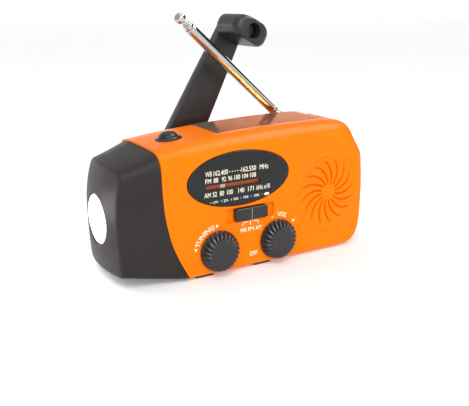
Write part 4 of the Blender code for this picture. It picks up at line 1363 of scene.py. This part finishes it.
# ------------------------------------------------------------------ top
@dataclass
class TopControls:
    """The rubber lamp button on its collar, and the solar panel."""

    LEAN: ClassVar[tuple[float, ...]] = tuple(np.array([-0.095, 0.0, 1.0]) / math.hypot(0.095, 1.0))
    AT: ClassVar[np.ndarray] = np.array([-27.0, -4.0, float(np.interp(-27.0, TOP_X, TOP_Z))])

    def button(self) -> None:
        """A domed button in a spreading collar, leaning with the top."""
        t = np.linspace(0, math.pi / 2, 18)
        dome = np.stack((3.85 * np.cos(t) ** 0.8, 0.9 + 2.2 * np.sin(t)), 1)
        dome[-1, 0] = AXIS
        profile = np.concatenate(([(AXIS, -2.2), (3.85, -2.2)], dome))
        place(lathe("lamp_button_dome", profile, self.AT, self.LEAN, 96), "button", "lamp_button", RUBBER,
              "lamp_button")
        s = np.linspace(0, 1, 14)
        flare = np.stack((4.0 + 1.75 * (1 - s) ** 2.0, 0.12 + 1.25 * s ** 1.3), 1)
        ring = np.concatenate(([(3.95, -2.2), (4.35, -2.2), (4.35, -0.1), (5.7, -0.1)], flare, [(3.92, 1.3)]))
        place(lathe("lamp_button_collar", ring, self.AT, self.LEAN, 96, True), "case", "button_collar", RUBBER,
              "button_collar")

    def panel(self) -> None:
        """The cell and its clear cover, both bent to the arch of the top."""
        for name, half, x0, x1, low, high, finish, node in (
                ("solar_cell_film", 11.9, -7.9, 49.9, -0.9, -0.1, SolarFinish(), "solar_cell"),
                ("solar_resin_cover", 12.05, -8.1, 50.1, 0.0, 0.2, ClearFinish(), "solar_cover")):
            x = np.linspace(x0, x1, 60)
            rows = []
            for y, by in ((-half, 0.12), (-half + 0.12, 0.0), (half - 0.12, 0.0), (half, 0.12)):
                upper = np.stack((x, np.full(60, y), top_z(x) + high - by), 1)
                lower = np.stack((x, np.full(60, y), top_z(x) + low), 1)[::-1]
                rows.append(np.concatenate((upper, lower)))
            place(grid(name, np.array(rows)), "case", node, finish, node)

    def build(self) -> None:
        """Builds the top."""
        self.button()
        self.panel()


# ------------------------------------------------------------------ crank
@dataclass
class Crank:
    """The folding crank: hub tongue, flat arm with a fork end, and the free-turning grip."""

    lean: float = math.radians(28.5)
    arm_y: tuple[float, float] = (22.8, 28.0)
    pin_y: float = 25.4
    tip: float = 78.4

    def at(self, flat: np.ndarray, y: float) -> np.ndarray:
        """Points (along, across) of the arm as points in space at one depth.

        Args:
            flat: points (along, across).
            y: the depth.

        Returns:
            Points (x, y, z).
        """
        along = np.array([math.sin(self.lean), math.cos(self.lean)])
        across = np.array([math.cos(self.lean), -math.sin(self.lean)])
        plane = np.array(HUB_AT) + flat[:, :1] * along + flat[:, 1:] * across
        return np.stack((plane[:, 0], np.full(len(plane), y), plane[:, 1]), 1)

    def bar(self, name: str, outline: np.ndarray, levels: Sequence[tuple[float, float]]) -> bpy.types.Object:
        """Skins the outline at several (depth, inset) levels."""
        return grid(name, np.array([self.at(inset(outline, by), y) for y, by in levels]))

    def pin(self, name: str, radius: float, half: float, rim: float = 0.0) -> bpy.types.Object:
        """A pin across the fork.

        Args:
            name: the object's name.
            radius: the pin's radius.
            half: half its length.
            rim: the rounding of its ends.

        Returns:
            The object.
        """
        across = np.array([math.cos(self.lean), 0, -math.sin(self.lean)])
        start = self.at(np.array([[0.0, -half]]), self.pin_y)[0]
        profile = [(AXIS, 0), (radius, 0), (radius, 2 * half), (AXIS, 2 * half)]
        return lathe(name, corner(profile, rim) if rim else np.array(profile), start, across, 48)

    def outline(self) -> np.ndarray:
        """Half-width 9.7 at the hub, running straight to 5.8 at the tip, with round corners.

        Returns:
            Points (along, across).
        """
        a = np.linspace(-2.5, 76.0, 80)
        half = np.interp(a, [-2.5, 9.0, 30.0, 52.0, 76.0], [9.6, 9.7, 8.6, 7.5, 6.1])
        t = np.linspace(0, math.pi, 40)[1:-1]
        cap = np.stack((76.0 + 5.6 * np.sin(t) ** 0.8, 6.1 * np.sign(np.cos(t)) * np.abs(np.cos(t)) ** 0.8), 1)
        return np.concatenate((np.stack((a, half), 1), cap, np.stack((a, -half), 1)[::-1]))[::-1]

    def arm(self) -> None:
        """The arm: flat faces with narrow rolled edges and a fork at the hub."""
        low, high = self.arm_y
        a = np.linspace(0, math.pi / 2, 5)
        levels = [(low + 0.5 - 0.5 * math.sin(t), 0.5 - 0.5 * math.cos(t)) for t in a[::-1]]
        levels += [(high - 0.9 + 0.9 * math.sin(t), 0.9 - 0.9 * math.cos(t)) for t in a]
        arm = self.bar("crank_arm_forked", self.outline(), levels)
        square = np.array([(4.7, -4.2), (-9, -4.2), (-9, 4.2), (4.7, 4.2)])
        heel = np.array([(AXIS, -15), (-9, -15), (-9, 15), (AXIS, 15)])
        ends = self.bar("heel", heel, [(15, 0), (40, 0)])
        carve(ends, Cut.TAKE, self.pin("keep", 2.6, 20.0))
        tip = self.at(np.array([[self.tip, 0.0]]), 20.0)[0]
        carve(arm, Cut.TAKE, self.bar("slot", square, [(15, 0), (40, 0)]), self.pin("pin_hole", 1.3, 12.0), ends,
              drum("tip_hole", tip, (0, 1, 0), 2.0, 6.9, 48))
        carve(arm, Cut.TAKE, self.bar("back_recess", np.array([(66.0, -2.9), (66.0, 2.9), (16.0, 4.6), (16.0, -4.6)]),
                                      [(27.3, 0.35), (29.0, 0.0)]))
        place(arm, "arm", "crank_arm", BLACK, "crank_arm")

    def hub(self) -> None:
        """The hub's tongue and neck, and the pin through them."""
        tongue = self.pin("crank_hub_tongue", 2.6, 3.9, 0.3)
        neck = lathe("neck", corner([(AXIS, -15.9), (3.0, -15.9), (3.0, -2.6), (3.4, -2.5), (3.4, 0.0), (AXIS, 0.0)],
                                    0.3), (HUB_AT[0], self.pin_y, HUB_AT[1]), (0, 1, 0), 64)
        carve(tongue, Cut.JOIN, neck)
        carve(tongue, Cut.TAKE, self.pin("bore", 1.3, 6.0))
        place(tongue, "crank", "crank_hub", BLACK, "crank_hub")
        place(self.pin("crank_pin_steel", 1.2, 9.0, 0.2), "crank", "crank_pin", STEEL, "crank_pin")

    def grip(self) -> None:
        """The grip: half-length 9.2 - 5 (1 - sqrt(1 - bend^2)), rounded off towards the front."""
        a = np.linspace(0, math.pi / 2, 5)
        edges = [(4.0 + 0.7 - 0.7 * math.sin(t), 0.7 - 0.7 * math.cos(t)) for t in a[::-1]]
        body = [(float(y), 0.0) for y in np.linspace(5.0, 9.0, 12)]
        parting = [(18.9, 0.0), (19.0, 0.14), (19.15, 0.14), (19.25, 0.0)]
        back = [(22.4 - 0.6 + 0.6 * math.sin(t), 0.6 - 0.6 * math.cos(t)) for t in a]
        rows = []
        for y, by in edges + body + parting + back:
            bend = min(max((8.5 - y) / 4.5, 0.0), 1.0)
            half = 9.2 - 5.0 * (1 - math.sqrt(1 - bend ** 2)) - by
            flat = rounded(0, 0, 10.0 - 2 * by, 2 * half, 4.2 - by, 14)
            rows.append(self.at(np.stack((flat[:, 0] + self.tip, flat[:, 1]), 1), y))
        grip = grid("crank_grip_block", np.array(rows))
        middle = self.at(np.array([[self.tip, 0.0]]), 0.0)[0]
        mouth = corner([(AXIS, 0), (3.7, 0), (3.6, 4.0), (3.2, 4.6), (3.2, 10.0), (1.9, 10.4), (1.9, 40),
                        (AXIS, 40)], 0.3)
        carve(grip, Cut.TAKE, lathe("spindle_hole", mouth, middle, (0, 1, 0), 64))
        place(grip, "grip", "crank_grip", BLACK, "crank_grip")
        start = self.at(np.array([[self.tip, 0.0]]), 8.0)[0]
        pin = corner([(AXIS, 0), (2.7, 0), (2.7, 1.5), (1.8, 1.9), (1.8, 18.6), (AXIS, 18.6)], 0.25)
        spindle = lathe("grip_spindle_headed", pin, start, (0, 1, 0), 48)
        place(spindle, "arm", "grip_spindle", DARK_STEEL, "grip_spindle")

    def build(self) -> None:
        """Builds the crank."""
        self.arm()
        self.hub()
        self.grip()


# ------------------------------------------------------------------ aerial
@dataclass
class Aerial:
    """The telescopic aerial, collapsed: swivel with two ears, root tongue and four nested sections."""

    cap_room: float = 8.0

    def build(self) -> None:
        """Builds every tube with a rolled lip, on the line from the pivot to the tip."""
        reach = MAST_TIP - MAST_AT
        length = float(np.linalg.norm(reach))
        reach = reach / length
        end = length - self.cap_room
        heading = np.array([reach[0], reach[1], 0.0]) / math.hypot(reach[0], reach[1])
        tilt = np.cross(heading, (0, 0, 1.0))
        tubes = (
            ("aerial_tube_1", "mast_1", 2.4, 2.0, 6.7, end, 1.3),
            ("aerial_tube_2", "mast_2", 1.9, 1.5, 9.0, end + 2.4, 1.0),
            ("aerial_tube_3", "mast_3", 1.4, 1.0, 11.0, end + 4.4, 1.0),
        )
        for name, body, outer, inner, start, stop, deep in tubes:
            profile = corner([(AXIS, start), (outer, start), (outer, stop - 1.3), (outer - 0.12, stop - 1.1),
                              (outer - 0.12, stop - 0.5), (inner + 0.05, stop), (inner, stop - deep),
                              (inner, start + 1.3), (AXIS, start + 1.3)], 0.12, 3)
            place(lathe(name.replace("tube", "section"), profile, MAST_AT, reach, 72), body, name, CHROME, name)
        tip = corner([(AXIS, 13.0), (0.9, 13.0), (0.9, end + 5.0), (1.9, end + 5.15), (2.35, end + 5.6),
                      (2.35, length - 0.7), (1.9, length - 0.1), (AXIS, length)], 0.3, 4)
        place(lathe("aerial_end_cap", tip, MAST_AT, reach, 72), "mast_4", "aerial_tip", CHROME, "aerial_tip")
        root = lathe("aerial_root_tongue", corner([(AXIS, -0.95), (1.9, -0.95), (1.9, 0.95), (AXIS, 0.95)], 0.15),
                     MAST_AT, tilt, 48)
        side = np.cross(reach, tilt)
        frame = np.array([reach, tilt, side])
        corners = np.array([(0, -1.9), (4.6, -1.9), (4.6, 1.9), (0, 1.9)])
        tongue = grid("tongue", np.array([MAST_AT + np.column_stack((corners[:, 0], np.full(4, h), corners[:, 1]))
                                          @ frame for h in (-0.95, 0.95)]))
        plug = lathe("plug", corner([(AXIS, 4.2), (2.4, 4.2), (2.4, 6.5), (AXIS, 6.5)], 0.3), MAST_AT, reach, 72)
        carve(root, Cut.JOIN, tongue, plug)
        place(root, "mast_1", "aerial_root", CHROME, "aerial_root")
        base = lathe("aerial_swivel_fork", corner([(AXIS, -6.4), (1.9, -6.4), (1.9, -2.9), (3.5, -2.9), (3.5, -2.3),
                                                   (3.1, -2.0), (AXIS, -2.0)], 0.2), MAST_AT, (0, 0, 1), 64)
        upright = np.array([heading, tilt, (0, 0, 1.0)])
        parts = []
        for sign in (-1.0, 1.0):
            lo, hi = sorted((sign * 1.25, sign * 2.3))
            post = np.array([(-2.0, -2.4), (2.0, -2.4), (2.0, 0.2), (-2.0, 0.2)])
            parts.append(grid("ear", np.array([MAST_AT + np.column_stack((post[:, 0], np.full(4, h), post[:, 1]))
                                               @ upright for h in (lo, hi)])))
            parts.append(lathe("eye", np.array([(AXIS, lo), (2.0, lo), (2.0, hi), (AXIS, hi)]), MAST_AT, tilt, 48))
        carve(base, Cut.JOIN, *parts)
        place(base, "mast_base", "aerial_swivel", CHROME, "aerial_swivel")


# ------------------------------------------------------------------ inner parts and sockets
@dataclass
class Innards:
    """The frame's own solids that stay as they are, each given the finish of its real material."""

    finishes: ClassVar[dict[str, Finish]] = {
        "speaker_frame": DARK_STEEL, "speaker_cone": PAPER, "speaker_magnet": DARK_STEEL, "band_switch": STEEL,
        "led_board": BOARD, "led_emitter": LENS, "main_board": BOARD, "battery_pack": WRAP,
        "generator_body": STEEL, "gear_plate": NYLON, "crank_gear": NYLON, "generator_pinion": BRASS,
        "usb_a_socket": STEEL, "usb_tongue": NYLON, "micro_usb_socket": STEEL, "earphone_socket": BLACK,
        "tuning_capacitor": NYLON, "volume_potentiometer": STEEL, "tuning_spindle": STEEL,
        "volume_spindle": STEEL, "aerial_pin": STEEL,
    }

    def build(self, nodes: dict) -> None:
        """Puts a finish in every slot of each node.

        Args:
            nodes: the solids of each sub-assembly.
        """
        for name, finish in self.finishes.items():
            node = nodes[name]
            made = finish.build()
            if node.material_slots:
                for slot in node.material_slots:
                    slot.material = made
            else:
                node.data.materials.append(made)
            LOG.info("%s keeps its solid, as %s", name, finish.name)


# ------------------------------------------------------------------ studio
@dataclass
class Studio:
    """A pale floor, soft lights and the camera."""

    floor_z: float = -1.2
    eye: tuple[float, float, float] = (-139.3, -246.8, 111.1)
    look: tuple[float, float, float] = (0.48829, 0.82087, -0.29623)
    focal: float = 49.7
    sky_level: float = 0.59
    dark_side: tuple[float, float, float] = (0.985, -0.02, 0.17)
    floor_radius: float = 40000.0
    wall_radius: float = 9000.0
    wall_height: float = 2400.0

    def paper(self, name: str, verts: np.ndarray, faces: list, glow: float) -> None:
        """Adds a piece of the backdrop, in pale paper that glows a little.

        Args:
            name: the object's name.
            verts: points in millimetres.
            faces: lists of point numbers.
            glow: how strongly it glows.
        """
        sheet = new_mesh(name, verts, faces)
        finish = Finish(f"{name}_paper", "#fbfbfb", "#ffffff", roughness=0.9, specular=0.1, grain_mm=2.0,
                        grain_um=0.0, cloud_mm=400.0, glow="#ffffff", glow_strength=glow)
        sheet.data.materials.append(finish.build())

    def floor(self) -> None:
        """The floor, out to beyond the horizon, and the low wall round it, open towards the dark right."""
        a = np.linspace(0, 2 * math.pi, 48, endpoint=False)
        reach = self.floor_radius
        self.paper("studio_floor", np.stack((reach * np.cos(a), reach * np.sin(a), np.full(48, self.floor_z)), 1),
                   [list(range(48))], 0.12)
        a, reach = np.radians(np.linspace(28, 332, 60)), self.wall_radius
        low = np.stack((reach * np.cos(a), reach * np.sin(a), np.full(60, -200.0)), 1)
        self.paper("studio_wall", np.concatenate((low, low + (0, 0, self.wall_height))),
                   [[k + 1, k, k + 60, k + 61] for k in range(59)], 0.75)

    @staticmethod
    def light(name: str, at: Point, aim: Point, power: float, size: float,
              shine_only: bool = False) -> None:
        """A square soft light aimed at a point. shine_only lights keep to reflections.

        Args:
            name: the lamp's name.
            at: its place.
            aim: the point it is aimed at.
            power: watts.
            size: the length of a side.
            shine_only: whether it only makes reflections.
        """
        lamp = bpy.data.lights.new(name, "AREA")
        lamp.energy, lamp.size = power, size * MM
        holder = stand(name, lamp)
        spot, target = Vector(at) * MM, Vector(aim) * MM
        turn = (target - spot).to_track_quat("-Z", "Y").to_matrix().to_4x4()
        holder.matrix_world = Matrix.Translation(spot) @ turn
        holder.visible_diffuse = not shine_only

    def camera(self) -> None:
        """The camera at the reference angle."""
        data = bpy.data.cameras.new("studio_camera")
        data.lens, data.sensor_width, data.sensor_fit = self.focal, 36.0, "HORIZONTAL"
        data.clip_start, data.clip_end = 0.01, 50.0
        holder = stand("studio_camera", data)
        turn = Vector(self.look).to_track_quat("-Z", "Y").to_matrix().to_4x4()
        holder.matrix_world = Matrix.Translation(Vector(self.eye) * MM) @ turn
        bpy.context.scene.camera = holder

    def sky(self) -> None:
        """Even pale light from all round, falling off smoothly towards the far right."""
        world = bpy.data.worlds.new("studio_world")
        bpy.context.scene.world = world
        world.use_nodes = True
        tree = world.node_tree
        place = add_node(tree, "ShaderNodeTexCoord").outputs["Generated"]
        facing = add_node(tree, "ShaderNodeVectorMath", {1: self.dark_side}, {0: place},
                          operation="DOT_PRODUCT")
        fade = add_node(tree, "ShaderNodeMapRange", {"From Min": 0.78, "From Max": 0.93, "To Min": self.sky_level,
                                                     "To Max": 0.03}, {"Value": facing.outputs["Value"]},
                        interpolation_type="SMOOTHSTEP")
        tree.nodes["Background"].inputs["Color"].default_value = linear("#ffffff")
        tree.links.new(fade.outputs["Result"], tree.nodes["Background"].inputs["Strength"])

    @staticmethod
    def sun() -> None:
        """One very soft light from the front left."""
        lamp = bpy.data.lights.new("soft_sun", "SUN")
        lamp.energy, lamp.angle = 1.2, math.radians(50)
        holder = stand("soft_sun", lamp)
        holder.matrix_world = Vector((0.30, 0.74, -0.60)).to_track_quat("-Z", "Y").to_matrix().to_4x4()

    @staticmethod
    def lamp_glow() -> None:
        """The lamp's own light on the face round the lens."""
        glow = bpy.data.lights.new("lamp_glow", "POINT")
        glow.energy, glow.shadow_soft_size = 0.022, 0.011
        stand("lamp_glow", glow).location = Vector((-76.0, -1.0, LAMP_Z + 5.0)) * MM

    def build(self) -> None:
        """Sets the stage."""
        self.floor()
        self.sky()
        self.sun()
        self.light("key_light", (-350, -500, 700), (0, 0, 30), 1.6, 300)
        self.light("top_light", (-100, 300, 700), (0, 0, 40), 0.7, 400)
        self.light("edge_light", (330, -190, 560), (0, -15, 50), 5.5, 420, shine_only=True)
        self.lamp_glow()
        bpy.context.scene.view_settings.view_transform = "Standard"
        self.camera()


def main() -> None:
    """Builds the radio piece by piece around the frame."""
    logging.basicConfig(level=logging.INFO, format="%(name)s: %(message)s")
    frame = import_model()
    Studio().build()
    Innards().build(frame["nodes"])
    for part in (Case(), LampHead(), Dial(), Knobs(), BandSlider(), Grille(), TopControls(), Crank(), Aerial()):
        LOG.info("building the %s", type(part).__name__)
        part.build()


if __name__ == "__main__":
    main()
